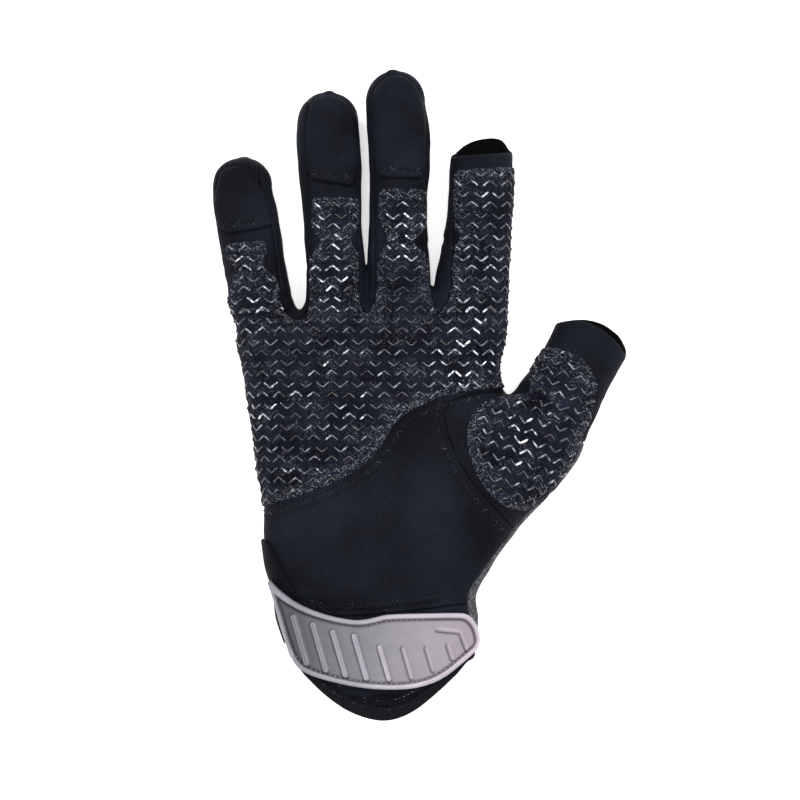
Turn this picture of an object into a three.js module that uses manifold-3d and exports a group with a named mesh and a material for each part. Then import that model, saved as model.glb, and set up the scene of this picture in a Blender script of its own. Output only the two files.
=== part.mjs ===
// A right-hand neoprene sport glove, lying on its back with the palm up.
// Thumb and index finger are open at the tip, the other three fingers are closed.
// Millimetres. +X is the thumb side, +Y the fingertips, +Z the palm side; the floor is z = 0.
import * as THREE from "three";
import { mergeVertices } from "three/addons/utils/BufferGeometryUtils.js";
import Module from "manifold-3d";

const wasm = await Module();
wasm.setup();

// Driving sizes
const WALL = 2.4; // neoprene with its lining
const GAP = 0.3; // between two panels at a seam
const LIFT = 0.4; // between the glove and what is sewn on it
const GRIP = 0.9; // printed grip fabric
const TIP_PATCH = 0.9; // fingertip patch
const BAND = 1.8; // wrist band under the moulded tab
const TAB = 1.9; // moulded tab
const RAISED = 0.8; // border and ribs of the moulded tab
const FAR = 150; // past the glove on every side
const LAP = 0.01; // by which two blocks overlap where they are joined
const ROOT_Y = 26; // the strips between the fingers start here
const GRIP_OVER_SEAM = 1.5; // the grip fabric stops this much above the side seam
const PATCH_OVER_SEAM = 2;
const HAND_SIDES = 28; // facets round the hand
const FINGER_SIDES = 12; // facets round a finger
const THUMB_SIDES = 14;
const HAND_SQUARE = 2.6; // 2 is an ellipse, more is boxier
const FINGER_SQUARE = 2.3;
const TIP_STEPS = 4; // rings that round off a closed fingertip
const BASE_Y = 22; // where the finger tubes start, inside the hand
const CURL = { from: 28, to: 110, rise: 7 }; // the fingers' undersides leave the floor
const FRAME_SHIFT = [-0.14, -0.17]; // puts the origin under the middle of the whole glove

// The hand, from the finger roots to the wrist: its sides, underside and palm heights.
const HAND = [
  { y: 33.0, left: -68.0, right: 29.0, low: 2.6, high: 20.6 },
  { y: 29.0, left: -70.6, right: 31.8, low: 0.6, high: 24.6 },
  { y: 19.0, left: -68.9, right: 31.2, low: -1.4, high: 28.6 },
  { y: 6.7, left: -66.7, right: 30.6, low: -2.4, high: 31.5 },
  { y: -5.0, left: -65.1, right: 34.5, low: -2.8, high: 33.0 },
  { y: -17.0, left: -63.3, right: 42.0, low: -2.8, high: 34.0 },
  { y: -29.8, left: -61.4, right: 50.5, low: -2.6, high: 35.0 },
  { y: -40.0, left: -59.9, right: 46.2, low: -1.8, high: 35.5 },
  { y: -52.6, left: -58.7, right: 35.5, low: 0.4, high: 35.5 },
  { y: -64.0, left: -57.0, right: 27.4, low: 2.4, high: 35.2 },
  { y: -75.0, left: -54.2, right: 20.8, low: 2.9, high: 35.0 },
  { y: -84.5, left: -51.8, right: 21.4, low: 3.0, high: 35.0 },
  { y: -97.0, left: -48.8, right: 20.2, low: 3.0, high: 35.6 },
  { y: -124.0, left: -46.6, right: 20.6, low: 2.6, high: 37.5 },
];

// Each finger: its centre line, half its width, and its thickness.
const FINGERS = {
  little: {
    tip: 12.6,
    rows: [
      { x: -56.6, y: BASE_Y, half: 10.6, low: 1.6, high: 24.0 },
      { x: -60.0, y: 34.8, half: 12.2, thick: 20.5 },
      { x: -61.8, y: 43.9, half: 12.0, thick: 19.0 },
      { x: -64.3, y: 57.0, half: 12.0, thick: 18.4 },
      { x: -66.3, y: 71.2, half: 12.1, thick: 18.4 },
      { x: -67.5, y: 79.0, half: 11.4, thick: 18.0 },
    ],
  },
  ring: {
    tip: 13.4,
    rows: [
      { x: -30.9, y: BASE_Y, half: 12.0, low: 1.6, high: 25.0 },
      { x: -31.4, y: 34.8, half: 12.1, thick: 21.5 },
      { x: -31.8, y: 46.0, half: 11.5, thick: 19.6 },
      { x: -32.7, y: 60.0, half: 11.1, thick: 19.0 },
      { x: -33.5, y: 73.0, half: 11.4, thick: 19.0 },
      { x: -34.2, y: 88.0, half: 12.3, thick: 19.4 },
      { x: -34.7, y: 102.8, half: 11.8, thick: 18.8 },
    ],
  },
  middle: {
    tip: 13.3,
    rows: [
      { x: -7.0, y: BASE_Y, half: 12.4, low: 1.6, high: 25.5 },
      { x: -7.4, y: 34.8, half: 12.6, thick: 22.0 },
      { x: -7.9, y: 46.0, half: 12.0, thick: 20.0 },
      { x: -8.2, y: 60.0, half: 11.4, thick: 19.4 },
      { x: -8.1, y: 74.0, half: 11.0, thick: 19.2 },
      { x: -7.6, y: 89.5, half: 11.7, thick: 19.6 },
      { x: -8.3, y: 103.0, half: 12.0, thick: 19.6 },
      { x: -9.0, y: 110.4, half: 11.5, thick: 19.0 },
    ],
  },
  index: {
    tip: 0,
    rows: [
      { x: 16.8, y: BASE_Y, half: 12.4, low: 1.6, high: 25.0 },
      { x: 18.6, y: 34.8, half: 14.4, thick: 22.5 },
      { x: 19.9, y: 45.0, half: 13.8, thick: 20.5 },
      { x: 21.3, y: 57.0, half: 12.7, thick: 20.0 },
      { x: 22.6, y: 71.2, half: 12.2, thick: 20.0 },
      { x: 23.4, y: 84.0, half: 12.1, thick: 20.0 },
      { x: 23.8, y: 102.0, half: 11.8, thick: 20.4 },
    ],
  },
};

// The thumb: its centre line, half its width, and its underside and palm heights.
const THUMB = [
  { x: 21.5, y: -40.5, half: 14.0, low: 2.0, high: 33.0 },
  { x: 33.0, y: -30.0, half: 16.6, low: 1.0, high: 34.5 },
  { x: 43.1, y: -18.8, half: 17.1, low: 1.5, high: 33.0 },
  { x: 51.3, y: -4.0, half: 16.0, low: 3.6, high: 30.0 },
  { x: 58.9, y: 8.9, half: 14.5, low: 5.2, high: 27.5 },
  { x: 65.0, y: 21.0, half: 14.8, low: 6.0, high: 27.5 },
  { x: 70.5, y: 32.0, half: 15.0, low: 6.2, high: 28.2 },
];

// Heights of the side seam along the glove.
const SEAM = [
  { y: -FAR, z: 20.0 },
  { y: -98, z: 19.4 },
  { y: -76, z: 18.4 },
  { y: -50, z: 16.4 },
  { y: 8, z: 16.0 },
  { y: 24, z: 13.0 },
  { y: 42, z: 10.6 },
  { y: 62, z: 10.9 },
  { y: 80, z: 12.6 },
  { y: 98, z: 15.0 },
  { y: FAR, z: 22.0 },
];

// Soft mounds and hollows of the palm: where, how wide, how high.
const RELIEF = [
  { x: -12, y: -24, wide: 21, high: -2.6 },
  { x: -46, y: -36, wide: 20, high: 1.4 },
  { x: 20, y: -34, wide: 16, high: 1.2 },
];

// Outlines seen from above, as points along each seam.
const WRIST_SEAM = [[-75, -79.0], [-45.4, -80.4], [-34.0, -83.0], [-9.9, -81.5], [7.8, -79.2], [40, -76.0]];
const THUMB_SEAM = [
  [45, -60], [33.6, -48.1], [26.8, -40.9], [19.2, -32.1], [13.5, -22.6], [10.1, -13.1], [8.9, -6.3],
  [12.3, -1.7], [22.0, 1.4], [34.2, 1.2], [40.0, 10.0],
];
const HEM_EDGE = [
  [-60, -92], [-49.2, -98.2], [-42.8, -107.3], [-31.7, -116.5], [-21.9, -121.0], [-13.1, -122.7],
  [-5.5, -120.6], [1.3, -116.5], [12.3, -107.3], [21.1, -98.2], [32, -92],
];
const HEM_WIDTH = 5; // turned hem of the cuff
const BACK_HEM_EDGE = [[-60, -96], [-46, -99.5], [-30, -105], [-13, -107], [4, -105], [20, -99.5], [32, -96]];
const BACK_THUMB_SEAM = [[40, 45], [40, 10], [33.4, 0.4], [40, -9], [50, -15], [62.9, -18], [80, -22]];
const INDEX_RIM = [[5, 92.3], [12.5, 91.8], [24, 92.9], [35.5, 92.9], [42, 92.9]];
const INDEX_BACK_RIM = [
  [5, 92.2], [13.4, 93.2], [18, 96.0], [24, 97.0], [32, 96.6], [34.6, 92.9], [42, 92.5],
];
const THUMB_RIM = [[46, 32], [52.5, 28.7], [59, 29.6], [67, 27.2], [74.6, 20.8], [78.7, 15.8], [86, 9]];
const THUMB_BACK_RIM = [[46, 33], [52.5, 28.9], [60, 30.6], [69, 28.6], [76.2, 22.0], [78.7, 16.0], [86, 9]];

// Seams on the palm side of the fingers, from tip to root, and the bottom of each gap between fingers.
const FINGER_SEAMS = {
  index: { left: [[14.5, FAR], [13.2, 78], [12.6, 60], [12.2, 38]] },
  middle: {
    right: [[2.2, FAR], [1.6, 80], [1.6, 60], [3.0, 38]],
    left: [[-15.8, FAR], [-15.8, 80], [-16.2, 60], [-16.6, 36]],
  },
  ring: {
    right: [[-24.8, FAR], [-24.8, 80], [-24.9, 60], [-24.0, 36]],
    left: [[-41.2, FAR], [-41.0, 80], [-40.6, 60], [-41.0, 32]],
  },
  little: { right: [[-62.5, FAR], [-60.2, 86], [-56.4, 66], [-51.6, 32]] },
};
const CROTCH = { index_middle: [6.8, 30.2], middle_ring: [-20.2, 29.6], ring_little: [-46.2, 28.4] };

// Grip fabric on the palm: its lower edge, and on each finger the sides with a waist over the joint.
const GRIP_LOWER_EDGE = [
  [-75, -46], [-62.1, -43.1], [-45.4, -37.8], [-30.2, -32.1], [-18.8, -24.9], [-13.1, -16.9], [-8.9, -9.3],
  [0.2, -3.6], [11.6, 0.2], [23.0, 2.6], [36.5, 2.6],
];
const GRIP_STRIPS = {
  index: {
    right: [[39, 36], [39, 88.2]],
    left: [[13.4, 86.6], [13.6, 66], [17.2, 60], [13.2, 54], [12.6, 37.6]],
  },
  middle: {
    right: [[4.0, 37.6], [3.0, 52], [0.2, 57], [2.6, 64], [2.6, 76.6]],
    left: [[-15.2, 76.8], [-15.6, 64], [-11.6, 57.4], [-15.6, 52], [-16.4, 36]],
  },
  ring: {
    right: [[-24.0, 36], [-24.6, 44], [-28.4, 49.6], [-25.2, 56], [-25.4, 71.2]],
    left: [[-40.2, 71.8], [-39.6, 56], [-36.6, 49.8], [-40.2, 44], [-40.6, 30]],
  },
  little: {
    right: [[-51.4, 32], [-53.8, 40], [-59.4, 46.4], [-57.8, 52], [-58.0, 60.4]],
    left: [[-71.6, 58.4], [-70.8, 50.6], [-66.4, 46.6], [-69.2, 41], [-73, 30], [-90, 30]],
  },
};
const THUMB_GRIP_EDGE = [
  [31.2, -0.4], [23.4, -2.8], [18.4, -8.4], [17.3, -16.9], [19.6, -28.3], [25.6, -38.6], [32.5, -44.6],
  [38.6, -46.4], [44.5, -43.0], [51.5, -36.0], [59.5, -25.0], [63.5, -12.5], [68.2, -0.4], [68.4, 5.0],
  [62.8, 12.0], [55.8, 16.8], [46.2, 18.4], [41.0, 16.5], [38.5, 8.0],
];

// Fingertip patches, seen from above.
const TIP_PATCHES = {
  little: [
    [-73.9, 59.8], [-65.0, 61.6], [-56.2, 62.8], [-56.8, 70.5], [-60.5, 79.4], [-65.0, 84.8], [-71.2, 84.4],
    [-76.2, 77.6], [-77.2, 68.0],
  ],
  ring: [
    [-40.8, 85.0], [-33.0, 84.4], [-25.0, 82.4], [-24.9, 100.0], [-28.2, 107.6], [-34.8, 111.0],
    [-40.3, 106.4], [-41.4, 99.0],
  ],
  middle: [
    [-16.8, 81.6], [-7.8, 81.4], [2.8, 81.4], [1.6, 104.0], [-2.6, 114.4], [-9.4, 119.0], [-16.0, 114.6],
    [-17.6, 104.0],
  ],
};

// Moulded tab of the wrist strap, and the band that it is sewn on.
const TAB_OUTLINE = [
  [-57.2, -71.0], [-46.2, -78.2], [-35.3, -82.2], [-25.6, -84.5], [-20.8, -84.6], [-16.4, -84.1],
  [-12.9, -83.2], [-3.8, -83.0], [13.1, -83.0], [18.0, -84.2], [21.2, -88.6], [21.9, -96.0], [17.3, -100.6],
  [8.3, -107.0], [-0.8, -110.7], [-9.9, -111.9], [-22.0, -111.3], [-34.1, -108.8], [-43.2, -105.8],
  [-47.4, -102.8], [-50.6, -95.4], [-53.6, -85.0],
];
const TAB_BORDER = 2.0; // width of the raised border
const RIB = { width: 2.0, lean: -0.29 };
const RIBS = [
  { x: -47.8, top: -84.6, foot: -102.2 },
  { x: -40.6, top: -87.3, foot: -104.6 },
  { x: -33.2, top: -90.0, foot: -106.4 },
  { x: -25.2, top: -91.6, foot: -107.4 },
  { x: -15.6, top: -95.8, foot: -107.8 },
  { x: -6.8, top: -96.4, foot: -107.2 },
  { x: 1.9, top: -96.4, foot: -104.6 },
  { x: 10.0, top: -95.4, foot: -100.2 },
];
const BAND_OUTLINE = [
  [-75, -54.0], [-60.5, -55.0], [-57.6, -56.0], [-51.1, -68.2], [-45.0, -78.4], [-30, -85.4],
  [-12, -86.4], [14, -85.6], [19.0, -90.0], [18.6, -96.5], [8, -103.8], [-6, -108.6],
  [-22, -108.6], [-42, -102.8], [-46.4, -99.4], [-52, -94], [-75, -88.0],
];
const BAND_BACK = [
  [-75, -54.0], [-58, -56.0], [-40, -66.0], [6, -74.0], [10, -76.0],
  [10, -93.0], [6, -95.0], [-40, -95.0], [-60, -92.0], [-75, -88.0],
];

// Height of a finger's underside: the fingers curl a little towards the palm.
const curl = (y) => CURL.rise * Math.max(0, (y - CURL.from) / (CURL.to - CURL.from)) ** 2;

const relief = (x, y) =>
  RELIEF.reduce((sum, r) => sum + r.high * Math.exp(-(((x - r.x) ** 2 + (y - r.y) ** 2) / r.wide ** 2)), 0);

// A closed ring of points round a section, `grow` outside the glove's own surface.
function sectionRing({ x, y, axis, half, low, high }, sides, square, grow, shrink = 1, ahead = 0) {
  const across = new THREE.Vector2(axis.y, -axis.x);
  const middle = (low + high) / 2;
  const [wide, tall] = [(half + grow) * shrink, ((high - low) / 2 + grow) * shrink];
  return Array.from({ length: sides }, (_, i) => {
    const turn = (2 * Math.PI * (i + 0.5)) / sides;
    const power = (v) => Math.sign(v) * Math.abs(v) ** (2 / square);
    const side = wide * power(Math.cos(turn));
    const px = x + across.x * side + axis.x * ahead;
    const py = y + across.y * side + axis.y * ahead;
    const palm = Math.max(0, Math.sin(turn)) * shrink;
    const pz = middle + tall * power(Math.sin(turn)) + relief(px, py) * palm;
    return new THREE.Vector3(px, py, Math.max(pz, -Math.min(grow, 0)));
  });
}

// A closed tube through rings of equal count, each end a fan.
function loft(rings) {
  const sides = rings[0].length;
  const points = rings.flat();
  const faces = [];
  for (let r = 0; r + 1 < rings.length; r++)
    for (let i = 0; i < sides; i++) {
      const [a, b] = [r * sides + i, r * sides + ((i + 1) % sides)];
      faces.push(a, a + sides, b, b, a + sides, b + sides);
    }
  for (const [ring, first] of [[rings[0], 0], [rings.at(-1), (rings.length - 1) * sides]]) {
    const centre = ring.reduce((sum, p) => sum.add(p), new THREE.Vector3()).divideScalar(sides);
    points.push(centre);
    for (let i = 0; i < sides; i++) {
      const pair = [first + i, first + ((i + 1) % sides)];
      faces.push(points.length - 1, ...(first ? pair.reverse() : pair));
    }
  }
  const geometry = new THREE.BufferGeometry().setFromPoints(points);
  geometry.setIndex(faces);
  return geometry;
}

// A three.js geometry as a solid that can be cut and joined, facing outwards.
function solid(geometry) {
  for (const name of ["normal", "uv"]) geometry.deleteAttribute(name);
  const merged = mergeVertices(geometry, 1e-4);
  const vertProperties = merged.attributes.position.array;
  const make = (triVerts) => new wasm.Manifold(new wasm.Mesh({ numProp: 3, vertProperties, triVerts }));
  const made = make(new Uint32Array(merged.index.array));
  if (made.volume() > 0) return made;
  const turned = merged.index.array.slice().reverse();
  return make(new Uint32Array(turned));
}

// An upright wall-to-wall block over an outline seen from above.
function prism(outline, low = -FAR, high = FAR) {
  const shape = new THREE.Shape(outline.map(([x, y]) => new THREE.Vector2(x, y)));
  const geometry = new THREE.ExtrudeGeometry(shape, { depth: high - low, bevelEnabled: false });
  return solid(geometry.translate(0, 0, low));
}

// Everything under the side seam, `up` higher, as a block across the whole glove.
function underSeam(up) {
  const points = SEAM.map((row) => new THREE.Vector2(row.y, row.z + up));
  const shape = new THREE.Shape([...points, new THREE.Vector2(FAR, -FAR), new THREE.Vector2(-FAR, -FAR)]);
  const geometry = new THREE.ExtrudeGeometry(shape, { depth: 2 * FAR, bevelEnabled: false });
  const turn = new THREE.Matrix4().makeBasis(
    new THREE.Vector3(0, 1, 0), new THREE.Vector3(0, 0, 1), new THREE.Vector3(1, 0, 0));
  return solid(geometry.applyMatrix4(turn).translate(-FAR, 0, 0));
}

// An outline moved outwards by `by`, or inwards if that is negative.
function grown(outline, by) {
  const turnsLeft = THREE.ShapeUtils.area(outline.map(([x, y]) => new THREE.Vector2(x, y))) > 0;
  const out = turnsLeft ? by : -by;
  return outline.map(([x, y], i) => {
    const [before, after] = [outline.at(i - 1), outline[(i + 1) % outline.length]];
    const [u, v] = [
      new THREE.Vector2(x - before[0], y - before[1]).normalize(),
      new THREE.Vector2(after[0] - x, after[1] - y).normalize(),
    ];
    const bisector = new THREE.Vector2(u.y + v.y, -u.x - v.x).normalize();
    const reach = out / Math.max(0.5, bisector.dot(new THREE.Vector2(u.y, -u.x)));
    return [x + bisector.x * reach, y + bisector.y * reach];
  });
}

const union = (solids) => solids.reduce((all, s) => all.add(s));

// The region past an open edge line, towards +Y or -Y.
const beyond = (edge, towards) => [...edge, [edge.at(-1)[0], towards * FAR], [edge[0][0], towards * FAR]];

function handBody(grow) {
  const rings = HAND.map((row, i) => {
    const end = i === 0 ? grow : 0;
    const half = (row.right - row.left) / 2;
    const section = { ...row, x: row.left + half, y: row.y + end, axis: { x: 0, y: 1 }, half };
    return sectionRing(section, HAND_SIDES, HAND_SQUARE, grow);
  });
  return solid(loft(rings));
}

// A finger's rows with their heights and the direction of its centre line.
function fingerSections(rows) {
  return rows.map((row, i) => {
    const [before, after] = [rows[Math.max(0, i - 1)], rows[Math.min(rows.length - 1, i + 1)]];
    const axis = new THREE.Vector2(after.x - before.x, after.y - before.y).normalize();
    const low = row.low ?? curl(row.y);
    return { ...row, axis, low, high: row.high ?? low + row.thick };
  });
}

function fingerBody({ rows, tip }, grow) {
  const sections = fingerSections(rows);
  const rings = sections.map((s) => sectionRing(s, FINGER_SIDES, FINGER_SQUARE, grow));
  for (let i = 1; tip && i < TIP_STEPS; i++) {
    const turn = (i / TIP_STEPS) * (Math.PI / 2);
    const ahead = (tip + grow) * Math.sin(turn);
    rings.push(sectionRing(sections.at(-1), FINGER_SIDES, FINGER_SQUARE, grow, Math.cos(turn), ahead));
  }
  return solid(loft(rings));
}

function thumbBody(grow) {
  const rings = fingerSections(THUMB).map((s) => sectionRing(s, THUMB_SIDES, FINGER_SQUARE, grow));
  return solid(loft(rings));
}

const fingersBody = (grow) => union(Object.values(FINGERS).map((finger) => fingerBody(finger, grow)));
const gloveBody = (grow) => union([handBody(grow), fingersBody(grow), thumbBody(grow)]);

// What the open ends lose: past the rims on the palm side and on the back.
function trimmings() {
  const above = (edge, towards) => prism(beyond(edge, towards)).subtract(underSeam(0));
  const below = (edge, towards) => prism(beyond(edge, towards)).intersect(underSeam(LAP));
  return union([
    above(INDEX_RIM, 1), below(INDEX_BACK_RIM, 1), above(THUMB_RIM, 1), below(THUMB_BACK_RIM, 1),
    above(HEM_EDGE, -1), below(BACK_HEM_EDGE, -1),
  ]);
}

const edgeMoved = (edge, by) => edge.map(([x, y]) => [x, y + by]);

// The palm panel's outline: round the hand and up each finger between its seams.
const palmOutline = [
  ...WRIST_SEAM, ...THUMB_SEAM, [40, FAR],
  ...FINGER_SEAMS.index.left, CROTCH.index_middle, ...[...FINGER_SEAMS.middle.right].reverse(),
  ...FINGER_SEAMS.middle.left, CROTCH.middle_ring, ...[...FINGER_SEAMS.ring.right].reverse(),
  ...FINGER_SEAMS.ring.left, CROTCH.ring_little, ...[...FINGER_SEAMS.little.right].reverse(),
  [-100, FAR], [-100, -79.0],
];
const gripOutline = [
  ...GRIP_LOWER_EDGE,
  ...GRIP_STRIPS.index.right, ...GRIP_STRIPS.index.left, CROTCH.index_middle.map((v, i) => v - i),
  ...GRIP_STRIPS.middle.right, ...GRIP_STRIPS.middle.left, CROTCH.middle_ring.map((v, i) => v - i),
  ...GRIP_STRIPS.ring.right, ...GRIP_STRIPS.ring.left, CROTCH.ring_little.map((v, i) => v - 1.5 * i),
  ...GRIP_STRIPS.little.right, ...GRIP_STRIPS.little.left, [-90, -46],
];
const thumbRegion = [...THUMB_SEAM, [40, 45], [FAR, 45], [FAR, -60]];
const thumbBackRegion = [...BACK_THUMB_SEAM, [FAR, -22], [FAR, 45]];

const outside = gloveBody(0).subtract(trimmings());
const wall = outside.subtract(gloveBody(-WALL));
const over = { seam: underSeam(0), palmSide: underSeam(GAP) };

// The panels that make the glove's wall.
function panels() {
  const palmSide = wall.subtract(over.palmSide);
  const backSide = wall.intersect(over.seam);
  const fourchette = (from, to) => {
    const box = prism([[from[0], ROOT_Y], [to[0], ROOT_Y], [to[1], FAR], [from[1], FAR]]);
    return palmSide.intersect(box).subtract(prism(grown(palmOutline, GAP)));
  };
  const hemLine = edgeMoved(HEM_EDGE, HEM_WIDTH);
  const backHemLine = edgeMoved(BACK_HEM_EDGE, HEM_WIDTH);
  const cuffBelowSeam = prism(beyond(edgeMoved(WRIST_SEAM, -GAP), -1));
  const hemRegion = prism(beyond(edgeMoved(hemLine, -GAP), -1)).subtract(over.seam)
    .add(prism(beyond(edgeMoved(backHemLine, -GAP), -1)).intersect(underSeam(LAP)));
  return {
    palm_panel: palmSide.intersect(prism(palmOutline)),
    back_panel: backSide.subtract(prism(grown(thumbBackRegion, GAP)).add(prism(beyond(backHemLine, -1)))),
    fourchette_index_middle: fourchette([-7.8, -9], [18, 24]),
    fourchette_middle_ring: fourchette([-31, -34], [-7.8, -9]),
    fourchette_ring_little: fourchette([-57, -69], [-31, -34]),
    thumb_front_panel: palmSide.intersect(prism(grown(thumbRegion, -GAP))),
    thumb_back_panel: backSide.intersect(prism(thumbBackRegion)),
    cuff_panel: palmSide.intersect(cuffBelowSeam).subtract(prism(beyond(hemLine, -1))),
    cuff_hem: wall.intersect(hemRegion),
  };
}

// What is sewn on the palm side: a layer over the glove, cut to an outline.
function overlays() {
  const bare = gloveBody(LIFT).add(underSeam(GRIP_OVER_SEAM)).add(trimmings());
  const cover = (outline) => gloveBody(LIFT + GRIP).intersect(prism(outline)).subtract(bare);
  const patch = (name) => {
    const under = fingerBody(FINGERS[name], LIFT).add(underSeam(PATCH_OVER_SEAM));
    return fingerBody(FINGERS[name], LIFT + TIP_PATCH).intersect(prism(TIP_PATCHES[name])).subtract(under);
  };
  return {
    palm_grip: cover(gripOutline),
    thumb_grip: cover(THUMB_GRIP_EDGE),
    little_tip_patch: patch("little"),
    ring_tip_patch: patch("ring"),
    middle_tip_patch: patch("middle"),
  };
}

// The wrist strap: a band sewn on the back that passes round the little finger's side, and its moulded tab.
function strap() {
  const layer = (from, to) => handBody(to).subtract(handBody(from));
  const front = (outline) => prism(outline).subtract(over.seam);
  const back = (outline) => prism(outline).intersect(underSeam(LAP));
  const bandTop = LIFT + BAND;
  const tabFrom = bandTop + LIFT;
  const tabTop = tabFrom + TAB;
  const band = layer(LIFT, bandTop).intersect(front(BAND_OUTLINE).add(back(BAND_BACK)));
  const rib = ({ x, top, foot }) => {
    const slide = (y) => x + (y - top) * RIB.lean;
    const [a, b] = [slide(top) - RIB.width / 2, slide(foot) - RIB.width / 2];
    return front([[a, top], [b, foot], [b + RIB.width, foot], [a + RIB.width, top]]);
  };
  const border = front(TAB_OUTLINE).subtract(prism(grown(TAB_OUTLINE, -TAB_BORDER)));
  const raised = layer(tabTop - LIFT, tabTop + RAISED).intersect(union([border, ...RIBS.map(rib)]));
  return {
    strap_band: band,
    strap_tab: layer(tabFrom, tabTop).intersect(front(TAB_OUTLINE)).add(raised),
  };
}

// Keeps a piece's main body: cutting by outlines can leave crumbs.
const mainBody = (made) => made.decompose().reduce((a, b) => (a.volume() > b.volume() ? a : b));

const MATERIALS = {
  smooth: { color: 0x1b1d26, roughness: 0.85, metalness: 0 },
  grip: { color: 0x17181f, roughness: 0.6, metalness: 0 },
  heather: { color: 0x44464a, roughness: 0.95, metalness: 0 },
  band: { color: 0x121318, roughness: 0.8, metalness: 0 },
  moulded: { color: 0x8f8b93, roughness: 0.55, metalness: 0 },
};
const MATERIAL_OF = {
  back_panel: "heather", palm_grip: "grip", thumb_grip: "grip", strap_band: "band", strap_tab: "moulded",
};

function mesh(name, made) {
  const { vertProperties, triVerts, numProp } = mainBody(made).getMesh();
  const geometry = new THREE.BufferGeometry();
  const positions = new Float32Array((vertProperties.length / numProp) * 3);
  for (let i = 0; i * numProp < vertProperties.length; i++)
    positions.set(vertProperties.subarray(i * numProp, i * numProp + 3), i * 3);
  geometry.setAttribute("position", new THREE.BufferAttribute(positions, 3));
  geometry.setIndex(new THREE.BufferAttribute(triVerts, 1));
  const material = new THREE.MeshStandardMaterial(MATERIALS[MATERIAL_OF[name] ?? "smooth"]);
  const piece = new THREE.Mesh(geometry, material);
  piece.name = name;
  return piece;
}

const glove = new THREE.Group();
glove.name = "glove";
const pieces = { ...panels(), ...overlays(), ...strap() };
for (const [name, made] of Object.entries(pieces)) glove.add(mesh(name, made));
glove.position.set(...FRAME_SHIFT, 0);

export default glove;
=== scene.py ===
# The looks of a right-hand neoprene sport glove, lying on its back with the palm up.
# Shapes are worked out in millimetres in the glove's own frame, and add_piece turns them into metres in the
# row frame.
import math

import bpy
import numpy as np
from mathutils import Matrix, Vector


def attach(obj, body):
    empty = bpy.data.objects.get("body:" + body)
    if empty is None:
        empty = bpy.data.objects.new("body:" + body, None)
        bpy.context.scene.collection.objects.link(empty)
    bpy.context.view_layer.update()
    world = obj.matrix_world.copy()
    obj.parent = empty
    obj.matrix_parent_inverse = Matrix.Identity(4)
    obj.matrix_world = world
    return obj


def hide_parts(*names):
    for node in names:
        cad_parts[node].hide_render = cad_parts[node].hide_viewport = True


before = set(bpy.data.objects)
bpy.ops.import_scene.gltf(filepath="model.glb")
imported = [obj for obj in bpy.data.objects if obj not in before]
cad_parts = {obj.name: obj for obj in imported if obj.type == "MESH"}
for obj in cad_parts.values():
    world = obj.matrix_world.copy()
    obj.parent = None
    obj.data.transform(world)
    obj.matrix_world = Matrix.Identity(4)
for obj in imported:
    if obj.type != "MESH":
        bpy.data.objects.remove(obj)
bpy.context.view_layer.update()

MM = 0.001
FRAME_SHIFT = np.array([-0.14, -0.17, 0.0])  # from the glove's own frame to the row frame
CAMERA = {"aim": (-7.55, -1.88), "height": 15.0, "view": 304.0, "lens": 135.0, "sensor": 36.0}
CAMERA_AWAY = CAMERA["view"] * CAMERA["lens"] / CAMERA["sensor"]
STEP = 0.95  # spacing of the glove's surface points
BOX = ([-84.0, -130.0, -2.7], [86.0, 128.0, 46.0])  # space that holds the glove
FLOOR = 0.1  # lowest height of the glove's outside
FLOOR_GLOW = 0.5  # the paper is lit a little from behind
WALL = 2.2  # neoprene with its lining
SEAM_GAP = 0.01  # half the gap between two panels
SEAM_DROP = 0.82  # how far a panel's edge turns down at a seam
SEAM_ROUND = 1.5  # how wide that turn is
GRIP = 0.8  # printed grip fabric
EDGE_FUZZ = 2.2  # how far the loose fibres at its edges reach in
PATCH = 0.45  # fingertip patches
PATCH_LIFT = 1.4  # how far their free lower edge stands off
LAYER_SUNK = -0.2  # underside of what is sewn on, in the neoprene
PANEL_CUTS = (SEAM_GAP, 0.35, 0.8, SEAM_ROUND)  # a panel's mesh follows its edge at these distances,
LAYER_CUTS = (0.0, 0.3, 0.8)  # and a layer's at these
CUT_REACH = 4  # only triangles this near to a panel are cut
TIP_TOP = 25.0  # height of the fingertips' palm side
TAB_TOP = 38.0  # and of the tab on the wrist
BAND = (0.1, 1.3)  # underside and top of the wrist band over the hand
TAB = (1.4, 2.8)  # underside and top of the moulded tab over the hand
HAND_SQUARE = 2.5  # 2 is an ellipse, more is boxier
FINGER_SQUARE = 2.25
CAP_SQUARE = 2.15
FINGER_BLEND = 1.6  # rounding where two fingers touch
ROOT_BLEND = 6.0  # rounding where fingers and thumb join the hand
NUB_BLEND = 2.5  # rounding round the small bumps at the fingertips
FLOOR_ROUND = 1.2  # rounding where the glove lies flat
SHARP_CAP = 20.0  # length of the thumb's end beyond its rim
OPEN_CAP = 400.0  # and of the wrist's, which runs on straight
EDGE_STEP = 0.5  # spacing of the points on a line that stitches or fibres follow
NEAR_GLOVE = 0.4  # what was let down onto the glove and is further from it than this is left out
FINGER_SPARE = 1.5  # how far past a finger's sides its own pieces may reach
GRIP_FROM_SEAM = 1.0  # how far the grip fabric stays over the seam to the back,
GRIP_FROM_RIM = 3.0  # and from the rims of the open fingers,
PATCH_FROM_SEAM = 2.5  # and how far a fingertip patch stays over the seam
DROP = {"from": 60.0, "share": 0.8}  # start height, and the part of the way that each step goes
CURL = {"from": 28.0, "to": 110.0, "rise": 7.0}  # the fingers' undersides leave the floor

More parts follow.
